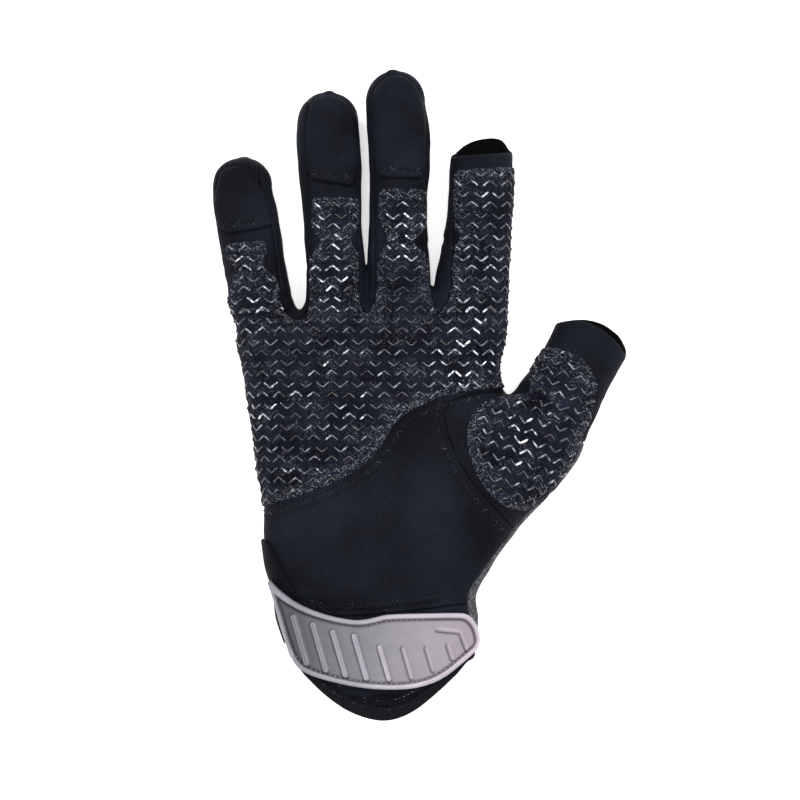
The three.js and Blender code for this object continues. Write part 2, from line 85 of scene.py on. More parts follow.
# The hand: y, left, right, underside, palm.
HAND = [
    (-124.0, -46.6, 20.6, 2.6, 37.5), (-97.0, -49.0, 20.9, 3.0, 35.6), (-84.5, -53.1, 22.3, 3.0, 35.0),
    (-75.0, -54.3, 21.7, 2.9, 35.0), (-64.0, -57.5, 27.6, 2.4, 35.2), (-52.6, -59.1, 35.5, 0.4, 35.5),
    (-40.0, -58.8, 44.2, -1.8, 35.5), (-29.8, -60.8, 50.5, -2.6, 35.0), (-17.0, -62.6, 42.0, -2.8, 34.0),
    (-5.0, -64.4, 34.5, -2.8, 33.0), (6.7, -66.0, 30.6, -2.4, 31.5), (22.0, -68.8, 31.4, -1.2, 27.6),
]
HAND_END = {"length": 13.0, "slant": 0.08}  # rounds off the hand between the fingers

# Each finger: x, y, half its width, and its thickness or its underside and palm heights.
FINGERS = {
    "little": [
        (-56.6, 22.0, 10.6, 1.6, 24.0), (-60.0, 34.8, 12.2, 20.5), (-61.8, 43.9, 12.0, 19.0),
        (-64.3, 57.0, 12.0, 18.4), (-66.3, 71.2, 12.1, 18.4), (-67.5, 79.0, 11.4, 18.0),
    ],
    "ring": [
        (-30.9, 22.0, 12.0, 1.6, 25.0), (-31.4, 34.8, 12.1, 21.5), (-31.8, 46.0, 11.5, 19.6),
        (-32.7, 60.0, 11.1, 19.0), (-33.5, 73.0, 11.4, 19.0), (-34.2, 88.0, 12.3, 19.4),
        (-34.7, 102.8, 11.8, 18.8),
    ],
    "middle": [
        (-7.0, 22.0, 12.4, 1.6, 25.5), (-7.4, 34.8, 12.6, 22.0), (-7.9, 46.0, 12.0, 20.0),
        (-8.2, 60.0, 11.4, 19.4), (-8.1, 74.0, 11.0, 19.2), (-7.6, 89.5, 11.7, 19.6),
        (-8.3, 103.0, 12.0, 19.6), (-9.0, 110.4, 11.5, 19.0),
    ],
    "index": [
        (16.8, 22.0, 12.4, 1.6, 25.0), (18.6, 34.8, 14.4, 22.5), (19.9, 45.0, 13.8, 20.5),
        (21.3, 57.0, 12.7, 20.0), (22.6, 71.2, 12.2, 20.0), (23.4, 84.0, 12.1, 20.0),
        (23.8, 102.0, 11.8, 20.4),
    ],
}
TIP_LENGTH = {"little": 11.6, "ring": 12.3, "middle": 12.3, "index": 13.0}
ROOT_LENGTH = 8.0

# The thumb: x, y, half its width, underside, palm.
THUMB = [
    (21.5, -40.5, 14.0, 2.0, 33.0), (33.0, -30.0, 16.6, 1.0, 34.5), (43.1, -18.8, 17.1, 1.5, 33.0),
    (51.3, -4.0, 16.0, 3.6, 30.0), (58.9, 8.9, 14.5, 5.2, 27.5), (65.0, 21.0, 14.8, 6.0, 27.5),
    (70.5, 32.0, 15.0, 6.2, 28.2),
]
THUMB_AXIS = (0.519, 0.855)

# Soft mounds and hollows of the palm side: x, y, along x, along y, height, turn in degrees.
RELIEF = [
    (-12, -24, 21, 21, -2.6, 0), (-46, -36, 20, 20, 1.4, 0), (20, -34, 16, 16, 1.2, 0),
    (41, -1.5, 9, 3.0, -6.5, -40), (37, -6.5, 9, 2.6, 1.6, -34), (46, 3.5, 8, 3.0, 1.4, -42),
    (-14, 8, 30, 3.2, -0.7, 8), (-34, -2, 26, 3.4, -0.8, -24), (8, 22, 26, 3.0, 0.7, 0),
    (-28, 22, 20, 4.0, 0.6, 4), (36, -22, 11, 9, 1.0, 0),
]
RELIEF_FROM = 14  # height at which they begin to show
# Creases of the cloth: x, y, half length, depth, turn in degrees.
CREASES = [
    (-63.5, 47.0, 10, 1.0, -8), (-33.0, 49.6, 9, 1.0, 4), (-7.0, 57.2, 9, 1.0, -3),
    (17.5, 60.0, 9, 0.8, 6), (-58.0, 36.5, 9, 0.6, 10), (-31.5, 38.5, 8, 0.6, 0), (-7.5, 41.0, 8, 0.6, 0),
    (20.0, 43.0, 9, 0.6, -4), (57.0, 4.5, 12, 0.8, -30), (52.0, -6.0, 11, 0.7, -34),
    (44, -31, 9, 0.5, -52), (-40, -78, 13, 0.5, -12), (-15, -113.4, 15, 2.0, 3), (-17, -116.8, 10, 1.2, 0),
    (-60, -2, 7, 0.5, 8), (-61, 12, 7, 0.4, 5), (-57, -24, 8, 0.4, 12), (-33, 76, 8, 0.4, 3),
    (-8, 74, 8, 0.4, -3),
]
CREASE = {"width": 1.7, "wander": 0.5, "pace": 0.55}
BROW = {"at": 2.2, "width": 1.7, "share": 0.55}  # the raised cloth beside a crease
UNEVEN = [(0.22, 24, 3), (0.10, 9, 4)]  # the cloth's unevenness: height, size and seed
PATCH_PRESS = (0.65, 0.95)  # width and depth of the hollow that a fingertip patch's edge presses,
STITCH_PRESS = (0.7, 0.4)  # and of the one under a row of stitches

# Heights of the side seam along the glove, and how much higher it runs round the thumb's side.
SEAM = [
    (-150, 20.0), (-98, 19.4), (-76, 18.4), (-50, 16.4), (8, 16.0), (24, 13.0), (42, 10.6), (62, 10.9),
    (80, 12.6), (98, 15.0), (150, 22.0),
]
THUMB_SIDE_RISE = 7.5
WRIST_SIDE_RISE = 1.2  # more of it beside the strap
TURN_OVER = 3  # how far from the side seam the palm's outlines turn into the back's

# Outlines seen from above.
WRIST_SEAM = [(-75, -79.0), (-45.4, -80.4), (-34.0, -83.0), (-9.9, -81.5), (7.8, -79.2), (40, -76.0)]
THUMB_SEAM = [
    (45, -60), (33.6, -48.1), (26.8, -40.9), (19.2, -32.1), (13.5, -22.6), (10.1, -13.1), (8.9, -6.3),
    (12.3, -1.7), (22.0, 1.4), (34.2, 1.2), (40.0, 10.0),
]
HEM_EDGE = [
    (-60, -92), (-48.8, -98.2), (-42.2, -106.8), (-31.4, -115.6), (-21.9, -120.0), (-13.1, -121.7),
    (-5.5, -119.7), (1.3, -115.6), (12.3, -106.5), (21.1, -97.6), (32, -92),
]
HEM_WIDTH = 5.0
HEM_LAP = 0.3  # how far the hem reaches under the panels above it
BACK_HEM_EDGE = [(-60, -96), (-46, -99.5), (-30, -105), (-13, -107), (4, -105), (20, -99.5), (32, -96)]
BACK_THUMB_SEAM = [(40, 45), (40, 10), (33.4, 0.4), (40, -9), (50, -15), (62.9, -18), (80, -22)]
INDEX_RIM = [(5, 90.6), (12.5, 90.3), (18, 90.5), (24, 90.7), (30, 91.2), (35.5, 92.0), (42, 92.2)]
INDEX_BACK_RIM = [
    (5, 90.5), (12.2, 91.6), (14.4, 93.8), (17, 95.9), (21, 97.8), (26, 98.7), (30, 98.6), (32.6, 97.4),
    (34.2, 94.6), (35.8, 92.6), (42, 92.0),
]
THUMB_RIM = [
    (46, 28), (51.7, 27.8), (59.0, 28.8), (63.1, 27.5), (67.8, 25.2), (72.5, 21.7), (76.0, 18.2),
    (77.7, 15.5), (86, 9),
]
THUMB_BACK_RIM = [
    (46, 30), (52.5, 28.4), (60.2, 29.3), (65.0, 29.0), (70.3, 27.3), (73.8, 25.0), (76.8, 22.4),
    (78.6, 18.8), (80, 15), (86, 9),
]
FINGER_SEAMS = {
    "index left": [(13.4, 150), (12.8, 78), (12.4, 60), (12.0, 38)],
    "middle right": [(2.0, 150), (2.6, 80), (2.4, 60), (3.4, 38)],
    "middle left": [(-18.0, 150), (-18.2, 80), (-17.4, 60), (-17.0, 36)],
    "ring right": [(-24.4, 150), (-23.0, 80), (-22.8, 60), (-22.8, 36)],
    "ring left": [(-41.6, 150), (-42.9, 100), (-42.8, 80), (-42.4, 60), (-42.0, 32)],
    "little right": [(-65.0, 150), (-61.0, 83), (-57.4, 70), (-54.6, 58), (-51.8, 32)],
}
CROTCH = {"index_middle": (6.8, 31.5), "middle_ring": (-20.2, 30.5), "ring_little": (-46.2, 28.4)}
FOURCHETTE_SIDES = {"ring_little": (-70, -31), "middle_ring": (-31, -8), "index_middle": (-8, 20)}

GRIP_LOWER_EDGE = [
    (-75, -46), (-62.1, -43.1), (-45.4, -37.8), (-30.2, -32.1), (-18.8, -24.9), (-13.1, -16.9),
    (-8.9, -9.3), (0.2, -3.6), (11.6, 0.2), (23.0, 2.6), (36.5, 2.6),
]
GRIP_STRIPS = [
    [(41, 36), (41, 86.9), (36, 86.6), (14.6, 85.2), (13.1, 83.9), (12.9, 64.5), (15.9, 59.8), (12.7, 55.2),
     (12.5, 37.6)],
    [(4.0, 37.6), (3.0, 50), (2.4, 53.5), (-3.0, 58.2), (1.8, 62.4), (2.6, 66), (2.5, 76.8), (1.2, 78.2),
     (-14.0, 78.3), (-15.4, 77), (-15.7, 65.6), (-11.2, 59.4), (-15.1, 53.4), (-15.9, 50), (-16.2, 36)],
    [(-23.2, 36), (-23.0, 50), (-23.2, 53.6), (-26.8, 58.8), (-23.4, 63.2), (-23.2, 66), (-23.2, 73.4),
     (-24.4, 74.9), (-39.3, 75.0), (-40.6, 73.8), (-40.8, 62.4), (-36.5, 58.7), (-41.1, 53.4), (-41.8, 48),
     (-41.4, 30)],
    [(-52.2, 32), (-53.8, 44.6), (-60.2, 49.0), (-57.8, 53), (-57.9, 57.4), (-59.2, 58.9), (-72.2, 57.8),
     (-73.6, 56.4), (-73.5, 52.6), (-69.4, 48.4), (-71.2, 42), (-75, 30), (-95, 30)],
]
THUMB_GRIP_EDGE = [
    (31.2, -0.2), (23.4, -2.4), (18.6, -8.0), (17.4, -16.4), (19.4, -26.8), (25.6, -36.6), (31.4, -41.6),
    (36.6, -43.4), (43.8, -41.6), (51.0, -34.6), (58.6, -24.6), (63.2, -12.5), (66.4, -0.4), (66.6, 5.0),
    (63.6, 12.0), (56.4, 17.0), (46.4, 18.6), (42.4, 13.4), (41.2, 7.4), (42.0, 1.6), (37.0, -0.4),
]
TIP_PATCHES = {  # each fingertip patch, from its free lower edge round the fingertip's seam
    "little": [
        (-76.4, 61.4), (-55.8, 64.6), (-56.0, 68), (-56.4, 72.2), (-58.0, 77.2), (-61.4, 82.0),
        (-65.0, 86.4), (-69.6, 88.2), (-74.4, 87.4), (-77.2, 83.6), (-78.4, 77), (-78.4, 70),
    ],
    "ring": [
        (-43.4, 82.6), (-34.7, 81.4), (-23.8, 79.5), (-23.0, 88), (-22.8, 96), (-23.2, 104.6),
        (-25.8, 110), (-29.8, 113.2), (-34.6, 115.0), (-38.6, 114.0), (-41.8, 111.2), (-43.6, 107),
        (-43.6, 95),
    ],
    "middle": [
        (-17.2, 83.2), (-8, 82.9), (2.6, 82.7), (2.8, 92), (3.0, 102.6), (2.6, 109.6), (-0.2, 117.2),
        (-5.0, 121.4), (-10.2, 122.2), (-14.4, 120.4), (-17.8, 116.6), (-19.2, 111), (-19.2, 103),
        (-18.0, 92),
    ],
}
PATCH_CORNERS = {"little": 2, "ring": 3, "middle": 3}  # how many of those points are on the free edge
PATCH_FOOT = {name: outline[:PATCH_CORNERS[name]] for name, outline in TIP_PATCHES.items()}
TIP_NUBS = [(-66.7, 89.2, 12.8), (-34.2, 114.2, 17.4), (-10.2, 121.4, 18.8)]  # where the seams meet
NUB = 1.3

TAB_OUTLINE = [
    (-57.3, -70.0), (-56.6, -71.4), (-46.2, -79.6), (-35.3, -83.6), (-25.6, -85.5), (-20.8, -85.3),
    (-16.4, -84.3), (-12.9, -83.3), (-3.8, -83.0), (13.1, -82.9), (18.0, -83.6), (21.2, -88.4),
    (21.9, -96.0), (17.3, -100.6), (8.3, -108.2), (-0.8, -111.3), (-9.9, -112.0), (-22.0, -111.3),
    (-34.1, -108.8), (-43.2, -105.8), (-46.8, -102.4), (-49.6, -95.4), (-52.7, -85.0),
]
RIBS = [  # the line of each raised rib from top to foot, and its height
    ([(-53.3, -79.8), (-47.6, -99.1)], 0.9), ([(-47.3, -84.6), (-42.2, -102.2)], 0.9),
    ([(-40.1, -87.3), (-35.1, -104.6)], 0.9), ([(-32.7, -90.0), (-27.9, -106.4)], 0.9),
    ([(-24.7, -91.6), (-20.1, -107.4)], 0.9), ([(-15.1, -95.8), (-11.6, -107.8)], 0.75),
    ([(-6.3, -96.4), (-3.2, -107.2)], 0.5), ([(2.4, -96.4), (4.8, -104.6)], 0.4),
    ([(10.5, -95.4), (11.9, -100.2)], 0.4),
    ([(6.8, -89.2), (14.9, -90.2), (17.2, -96.9)], 0.4),  # the corner line at the tab's right end
]
FAINT_RIB = 0.4  # height of the lowest ribs
# Painted highlight and painted shade of a rib: how much lighter its colour is at the crest and the foot of
# each side, for a faint rib, and more for a clear one.
RIB_PAINTED_LIGHT = {"left": ((0.04, 0.5), (-0.42, 0.14)), "right": ((0.08, 0.2), (0.0, -0.09)), "top": 0.14}
# Half a rib's width if it is faint, and more for a clear one, the places beside its edge and the widths of
# its painted highlight and painted shade, how much higher a clear rib is than a faint one, and half the
# width of its painted light top.
RIB = {"plain": 0.75, "more": 0.4, "crest": (-0.45, 0.36), "foot": (0.15, 0.3), "span": 0.5, "top": 0.6}
RIB_FORM = {"power": 0.35, "sunk": 0.02}  # how full its profile is, and how far its foot goes under the face
# Painted light on the tab's face and its border: how light their colour is, and what comes on between two
# places along the tab.
FACE_PAINTED_LIGHT = (0.41, [(0.1, -48, -18)])
BORDER_PAINTED_LIGHT = (0.42, [(-0.12, -40, -22), (-0.16, -22, 15), (0.35, -47, -53)])
RIM_PAINTED_HIGHLIGHT = {"more": 0.1, "at": 1.5, "width": 0.3}  # a painted highlight, a light line on the border
TAB_BORDER = {"inner": (1.6, 2.0), "height": 0.8, "round": 0.9, "drop": 0.7}
TAB_GROOVE = {"at": 2.35, "width": 0.52, "depth": 0.55, "shade": 0.46}  # along the inside of the border, with painted shade in it
TAB_STEP = 0.36  # spacing of the tab's surface points
TAB_SPAN = ((-74, 34), (-115, -66))  # chart area that holds the tab
TAB_STITCH = {"inset": 2.3, "pitch": 1.9, "length": 1.1, "thick": 0.75, "sunk": 0.3}
TAB_SEWN = {"below": -96, "between": (-20, 2)}  # it is stitched along its lower edge and a part of its top
BAND_OUTLINE = [
    (-80, -54.0), (-60.5, -55.0), (-57.6, -56.0), (-51.1, -68.2), (-45.0, -78.4), (-30, -85.4),
    (-12, -86.4), (14, -85.6), (19.0, -90.0), (18.6, -96.5), (8, -103.8), (-6, -108.6), (-22, -108.6),
    (-42, -102.8), (-46.4, -99.4), (-52, -94), (-80, -88.0),
]
BAND_BACK = [
    (-80, -54.0), (-58, -56.0), (-40, -66.0), (6, -74.0), (10, -76.0), (10, -93.0), (6, -95.0),
    (-40, -95.0), (-60, -92.0), (-80, -88.0),
]

# The printed zigzag: strokes in rows, "^" and "v" in turn.
CHEVRON = {"period": 6.6, "row": 4.0, "arm": (2.6, 2.2), "width": 0.92, "height": 0.45, "round": 0.005}
# Each stroke's place, size and painted shine vary, and some arms get no painted shine.
VARIED = {"place": 0.12, "size": (0.88, 1.08), "shine": (0.3, 1.3), "dull": 0.12}
# Where its arms get a painted highlight, a lighter colour: x, y, reach, and how much the rising and the
# falling arms do.
PAINTED_SHINE = [
    (-32, 66, 10, 0.1, 0.7), (-6, 67, 9, 0.15, 0.7), (-7, 57, 7, 0.4, 0.5), (-33, 46, 7, 0.62, 0.62),
    (-32, 36, 7, 0.6, 0.5), (-66, 52, 8, 0.35, 0.45), (-62, 34, 10, 0.2, 0.45), (24, 78, 9, 0.3, 0.4),
    (22, 52, 10, 0.45, 0.5), (20, 34, 7, 0.4, 0.45), (16, 15, 11, 1.1, 1.1), (-28, 3, 18, 0.6, 0.0),
    (-57, -2, 10, 0.35, 0.3), (-59, -16, 10, 0.3, 0.15), (-57, 27, 8, 0.35, 0.3), (-44, -28, 10, 0.2, 0.2),
    (36, -16, 11, 0.85, 0.4), (57, 10, 10, 0.2, 0.2), (50, -28, 9, 0.25, 0.1), (54, -6, 9, 0.15, 0.1),
]
# Painted highlight that every stroke gets everywhere.
PAINTED_SHINE_BASE = 0.14
STROKE_ACROSS = np.array([-1.0, -0.72, 0.0, 0.72, 1.0])  # a stroke's profile: places across it,
STROKE_UP = np.array([-0.25, 0.72, 1.0, 0.72, -0.25])  # how high it is there,
STROKE_PAINTED_SHINE = np.array([0.1, 0.65, 1.0, 0.65, 0.1])  # and how much painted shine its colour gets there
STROKE_POINTS = 13  # along each stroke
STROKE_SUNK = 1.3  # how far under the grip fabric's top the hidden parts of a stroke lie
STROKE_END = {"width": 0.35, "height": 0.3}  # what its tapered ends keep
PRINT_INSET = 0.5  # how far it stays from the grip fabric's edge
# A chart's middle, reach to both sides and rows, then the box of u and v that is printed, and a seed.
PALM_CHART = (-18.0, (-72, 62), (-48, 33))
PALM_PRINT = ((-95, 50), (-46, 32), 11)
THUMB_CHART = {"middle": 0.0, "u_range": (-40, 40), "v_range": (-36, 38), "turn": -14, "origin": (42, -14)}
THUMB_PRINT = ((-40, 40), (-35, 37), 31)
# The same for the strips on the fingers, where the middle is the finger's own.
STRIP = {"reach": (-22, 22), "from": 30, "printed": (-24, 24), "start": 33, "seed": 20}
STRIP_TOPS = {"little": 60, "ring": 76, "middle": 79, "index": 88}  # where the print ends on each finger

# Loose fibres of the grip fabric: how many, how far inside and outside its edge, and how long.
LOWER_FIBRES = {"count": 420, "reach": (4.2, -0.3), "size": (0.5, 1.3), "seed": 41}
STRIP_FIBRES = {"count": 190, "reach": (4.0, -0.3), "size": (0.5, 1.2), "seed": 42}
THUMB_FIBRES = {"count": 520, "reach": (4.2, -0.3), "size": (0.5, 1.3), "seed": 47}
FIBRE_LIFT = GRIP - 0.1  # height of the grip fabric's loose fibres over the glove,
FIBRE_RISE = np.array([0.0, 0.25, 0.3, 0.1])  # how much higher their points are from root to tip,
FIBRE_THICK = np.array([0.10, 0.10, 0.08, 0.03])  # and how thick they are there
# A stitch kind's shade is the thread's grey; its lighter greys are partly grey thread and partly painted
# highlight.
DASH = {"pitch": 1.9, "length": 1.3, "thick": 0.95, "shade": (0.0, 0.1)}
SPECK = {"pitch": 1.7, "length": 1.1, "thick": 0.45, "shade": (0.05, 0.55)}
HEM_SPECK = {**SPECK, "length": 1.3, "shade": (0.05, 0.85)}
ZIGZAG = {"turn": 52, "pitch": 1.4, "length": 2.2, "thick": 0.5, "shade": (0.0, 0.5)}
BEAD = (7, 6)  # a stitch's rings, and points in each

LIGHTS = [  # place, size, watts
    ((0.55, 0.45, 1.25), 1.0, 10.6), ((-0.50, -0.10, 1.40), 1.0, 8.2), ((-0.60, 0.76, 0.87), 0.14, 3.0),
    ((0.60, 0.76, 0.87), 0.14, 3.0), ((-0.10, 0.15, 1.45), 0.12, 1.8),
]
LIGHT_AIM = (-0.0075, -0.002, 0.02)
WORLD = {"strength": 0.75, "horizon": 0.6, "zenith": 1.0}
FLOOR_HALF = 2.0


# Curves and outlines

def unit(vectors):
    """The vectors at a length of 1."""
    return vectors / np.maximum(np.linalg.norm(vectors, axis=-1), 1e-6)[..., None]


def left_of(directions):
    """Flat directions turned a quarter to their left."""
    return np.stack([-directions[..., 1], directions[..., 0]], axis=-1)


def bell(value, width):
    """1 at zero, falling off to both sides within about that width."""
    return np.exp(-((value / width) ** 2))


def turned_about(x, y, centre, degrees):
    """Distances from a centre, along a turned direction and across it."""
    c, s = math.cos(math.radians(degrees)), math.sin(math.radians(degrees))
    x, y = x - centre[0], y - centre[1]
    return x * c + y * s, y * c - x * s


def beneath(points, height):
    """Where points at that height lie, from where a straight-down view shows them on a middle plane."""
    aim = np.array(CAMERA["aim"]) - FRAME_SHIFT[:2]
    return aim + (np.array(points, float) - aim) * (1 - (height - CAMERA["height"]) / CAMERA_AWAY)


def smooth_rows(rows, step=0.25):
    """Rows of numbers, first column ascending, as close samples of a smooth curve through them."""
    rows = np.array(rows, float)
    s, values = rows[:, 0], rows[:, 1:]
    slopes = np.gradient(values, s, axis=0)
    at = np.arange(s[0], s[-1] + step / 2, step)
    i = np.clip(np.searchsorted(s, at, side="right") - 1, 0, len(s) - 2)
    span = (s[i + 1] - s[i])[:, None]
    t = (at - s[i])[:, None] / span
    start, end = (1 + 2 * t) * (1 - t) ** 2, t ** 2 * (3 - 2 * t)
    leave, arrive = t * (1 - t) ** 2 * span, t ** 2 * (t - 1) * span
    return at, start * values[i] + end * values[i + 1] + leave * slopes[i] + arrive * slopes[i + 1]


def rounded(points, closed, times=2):
    """An outline with its corners cut back, so that it runs smoothly."""
    p = np.array(points, float)
    for _ in range(times):
        ahead = np.roll(p, -1, axis=0)
        pairs = np.stack([0.75 * p + 0.25 * ahead, 0.25 * p + 0.75 * ahead], axis=1).reshape(-1, 2)
        p = pairs if closed else np.vstack([p[:1], pairs[1:-3], p[-1:]])
    return p


def run_of(points):
    """How far along a line each of its points is."""
    return np.concatenate([[0], np.cumsum(np.linalg.norm(np.diff(points, axis=0), axis=1))])


def points_at(at, run, points):
    """Points of a line at distances along it."""
    return np.stack([np.interp(at, run, column) for column in points.T], axis=1)


def resampled(points, pitch):
    """Points every `pitch` millimetres along a line."""
    p = np.array(points, float)
    run = run_of(p)
    return points_at(np.arange(0, run[-1], pitch), run, p)


def beside(points, by):
    """A line moved sideways, to its left where `by` is positive."""
    p = np.array(points, float)
    return p + by * left_of(unit(np.gradient(p, axis=0)))


def inside(outline, xy, closed=True):
    """Signed distance to an outline, positive inside it. An open line is positive on its left."""
    a = np.array(outline, float)
    b = np.roll(a, -1, axis=0)
    if not closed:
        a, b = a[:-1], b[:-1]
    best, sign = np.full(len(xy), 1e9), np.ones(len(xy))
    crossings = np.zeros(len(xy), int)
    for p, q in zip(a, b):
        edge, to = q - p, xy - p
        t = np.clip(to @ edge / max(edge @ edge, 1e-12), 0, 1)
        away = np.hypot(*(to - t[:, None] * edge).T)
        side = edge[0] * to[:, 1] - edge[1] * to[:, 0]
        if closed:
            spans = (p[1] > xy[:, 1]) != (q[1] > xy[:, 1])
            crossings += spans & ((side > 0) == (q[1] > p[1]))
        else:
            nearer = away < best - 1e-9
            sign = np.where(nearer, np.sign(side), sign)
        best = np.minimum(best, away)
    return best * (np.where(crossings % 2 == 1, 1, -1) if closed else sign)


def ramp(value, start, end):
    """0 before start, 1 past end, smooth between."""
    t = np.clip((value - start) / (end - start), 0, 1)
    return t * t * (3 - 2 * t)


def height_on(line, x):
    """The y of a line seen from above at each x."""
    points = rounded(line, False)
    return np.interp(x, points[:, 0], points[:, 1])


# The glove's surface, as a distance

class Tube:
    """A rounded tube: rows of place along the axis, left side, right side, underside and palm."""

    def __init__(self, rows, square, caps, origin=(0, 0), axis=(0, 1), slant=0.0):
        self.at, self.sides = smooth_rows(sorted(rows))
        self.square, self.caps, self.slant = square, caps, slant
        self.origin, self.axis = np.array(origin, float), np.array(axis, float)
        self.across = np.array([self.axis[1], -self.axis[0]])

    def section(self, s):
        return [np.interp(s, self.at, column) for column in self.sides.T]

    def middle(self, s):
        left, right = self.section(s)[:2]
        return (left + right) / 2

    def distance(self, points):
        flat = points[:, :2] - self.origin
        s, c = flat @ self.axis, flat @ self.across
        left, right, low, high = self.section(s)
        half, tall = (right - left) / 2, (high - low) / 2
        u = np.abs((c - (left + right) / 2) / half)
        v = np.abs((points[:, 2] - (low + high) / 2) / tall)
        n, m = self.square, CAP_SQUARE
        r = np.maximum(u ** n + v ** n, 1e-9) ** (1 / n)
        start, end = self.caps
        last = self.at[-1] + self.slant * (c - self.middle(self.at[-1]))
        t = np.maximum(np.maximum((s - last) / end, (self.at[0] - s) / start), 0)
        q = (r ** m + t ** m) ** (1 / m)
        across = np.hypot(u ** (n - 1) / half, v ** (n - 1) / tall) / r ** (n - 1)
        lengthwise = np.where(s > last, 1 / end, 1 / start)
        grade = np.hypot((r / q) ** (m - 1) * across, (t / q) ** (m - 1) * lengthwise)
        return (q - 1) / np.maximum(grade, 0.02)


def curl(y):
    return CURL["rise"] * max(0.0, (y - CURL["from"]) / (CURL["to"] - CURL["from"])) ** 2


def finger_tube(name):
    rows = []
    for x, y, half, *heights in FINGERS[name]:
        low, high = heights if len(heights) == 2 else (curl(y), curl(y) + heights[0])
        rows.append((y, x - half, x + half, low, high))
    return Tube(rows, FINGER_SQUARE, (ROOT_LENGTH, TIP_LENGTH[name]))


def thumb_tube():
    axis, origin = np.array(THUMB_AXIS), np.array(THUMB[1][:2], float)
    across = np.array([axis[1], -axis[0]])
    rows = []
    for x, y, half, low, high in THUMB:
        from_origin = np.array([x, y]) - origin
        c = from_origin @ across
        rows.append((from_origin @ axis, c - half, c + half, low, high))
    return Tube(rows, FINGER_SQUARE, (ROOT_LENGTH, SHARP_CAP), origin, axis)


def joined(a, b, soft):
    """The union of two distances, rounded where they meet."""
    h = np.clip(0.5 + 0.5 * (b - a) / soft, 0, 1)
    return b + (a - b) * h - soft * h * (1 - h)


HAND_TUBE = Tube(HAND, HAND_SQUARE, (OPEN_CAP, HAND_END["length"]), slant=HAND_END["slant"])
FINGER_TUBES = {name: finger_tube(name) for name in FINGERS}
THUMB_TUBE = thumb_tube()


def relief(x, y):
    total = np.zeros(len(x))
    for cx, cy, wide, long, high, turn in RELIEF:
        u, v = turned_about(x, y, (cx, cy), turn)
        total += high * np.exp(-((u / wide) ** 2 + (v / long) ** 2))
    return total


def on_the_floor(distance, z):
    return -joined(-distance, z - FLOOR, FLOOR_ROUND)


def without_relief(points, whole_at):
    """Points moved so that a plain tube gets the palm side's relief, which fades in over a height."""
    raised = points.copy()
    raised[:, 2] -= relief(points[:, 0], points[:, 1]) * ramp(points[:, 2], RELIEF_FROM, whole_at)
    return raised


def hand(points):
    """Distance to the hand without fingers and thumb."""
    return on_the_floor(HAND_TUBE.distance(without_relief(points, 26)), points[:, 2])


def glove(points):
    """Distance to the glove's outside, negative inside it."""
    raised = without_relief(points, 24)
    fingers = None
    for tube in FINGER_TUBES.values():
        d = tube.distance(raised)
        fingers = d if fingers is None else joined(fingers, d, FINGER_BLEND)
    for nub in TIP_NUBS:
        fingers = joined(fingers, np.linalg.norm(points - nub, axis=1) - NUB, NUB_BLEND)
    body = joined(HAND_TUBE.distance(raised), THUMB_TUBE.distance(raised), ROOT_BLEND)
    return on_the_floor(joined(body, fingers, ROOT_BLEND), points[:, 2])


def gradient(field, points, h=0.15):
    g = np.empty_like(points)
    for k, step in enumerate(h * np.eye(3)):
        g[:, k] = (field(points + step) - field(points - step)) / (2 * h)
    return g


def normals_of(field, points):
    return unit(gradient(field, points))


def settled(field, points, times):
    """Points moved onto the zero level of the field."""
    for _ in range(times):
        g = gradient(field, points)
        squared = np.maximum((g ** 2).sum(1), 0.05)
        points = points - (field(points) / squared)[:, None] * g
    return points


def sewn_lines():
    """Lines that lie pressed into the cloth: the line, whether it is closed, its width and its depth."""
    lines = []
    for outline in TIP_PATCHES.values():
        lines.append((beneath(rounded(outline, True, 1), TIP_TOP), True, *PATCH_PRESS))
    for edge, rows in ((GRIP_LOWER_EDGE[1:-1], (-1.5, -4.7)), (THUMB_SEAM[1:-3], (1.5, 4.7, -1.6)),
                       (WRIST_SEAM[1:-1], (1.5, 4.5))):
        lines += [(beside(rounded(edge, False, 1), by), False, *STITCH_PRESS) for by in rows]
    return lines


SEWN_LINES = sewn_lines()


def waves(points, size, seed):
    """Soft seeded unevenness between about -1 and 1, with bumps of about that size."""
    random = np.random.default_rng(seed)
    total = np.zeros(len(points))
    for _ in range(7):
        turn = random.normal(size=3)
        turn /= np.linalg.norm(turn)
        pace = 2 * math.pi / (size * random.uniform(0.7, 1.5))
        total += np.sin(points @ turn * pace + random.uniform(0, 6.3))
    return total / 3.2


def folds(points):
    """How far the cloth stands above the plain surface: creases at the joints and a little unevenness."""
    x, y, z = points.T
    total = sum(high * waves(points, size, seed) for high, size, seed in UNEVEN)
    for cx, cy, reach, deep, turn in CREASES:
        u, v = turned_about(x, y, (cx, cy), turn)
        v = v + CREASE["wander"] * np.sin(u * CREASE["pace"] + cx)
        brow = BROW["share"] * bell(np.abs(v) - BROW["at"], BROW["width"])
        total += np.exp(-((u / reach) ** 4)) * deep * (brow - bell(v, CREASE["width"]))
    return (total - pressed_in(points)) * ramp(z, 1.5, 6)


def pressed_in(points):
    """How deep rows of stitches and the fingertip patches' edges lie in the cloth."""
    deepest = np.zeros(len(points))
    for line, closed, width, depth in SEWN_LINES:
        low, high = line.min(axis=0) - 3 * width, line.max(axis=0) + 3 * width
        near = ((points[:, :2] > low) & (points[:, :2] < high)).all(axis=1) & (points[:, 2] > 8)
        away = inside(line, points[near, :2], closed)
        deepest[near] = np.maximum(deepest[near], depth * bell(away, width))
    return deepest * ramp(above_seam(points), 2.5, 6.5)


# Meshes as arrays: vertices with their values, and triangles

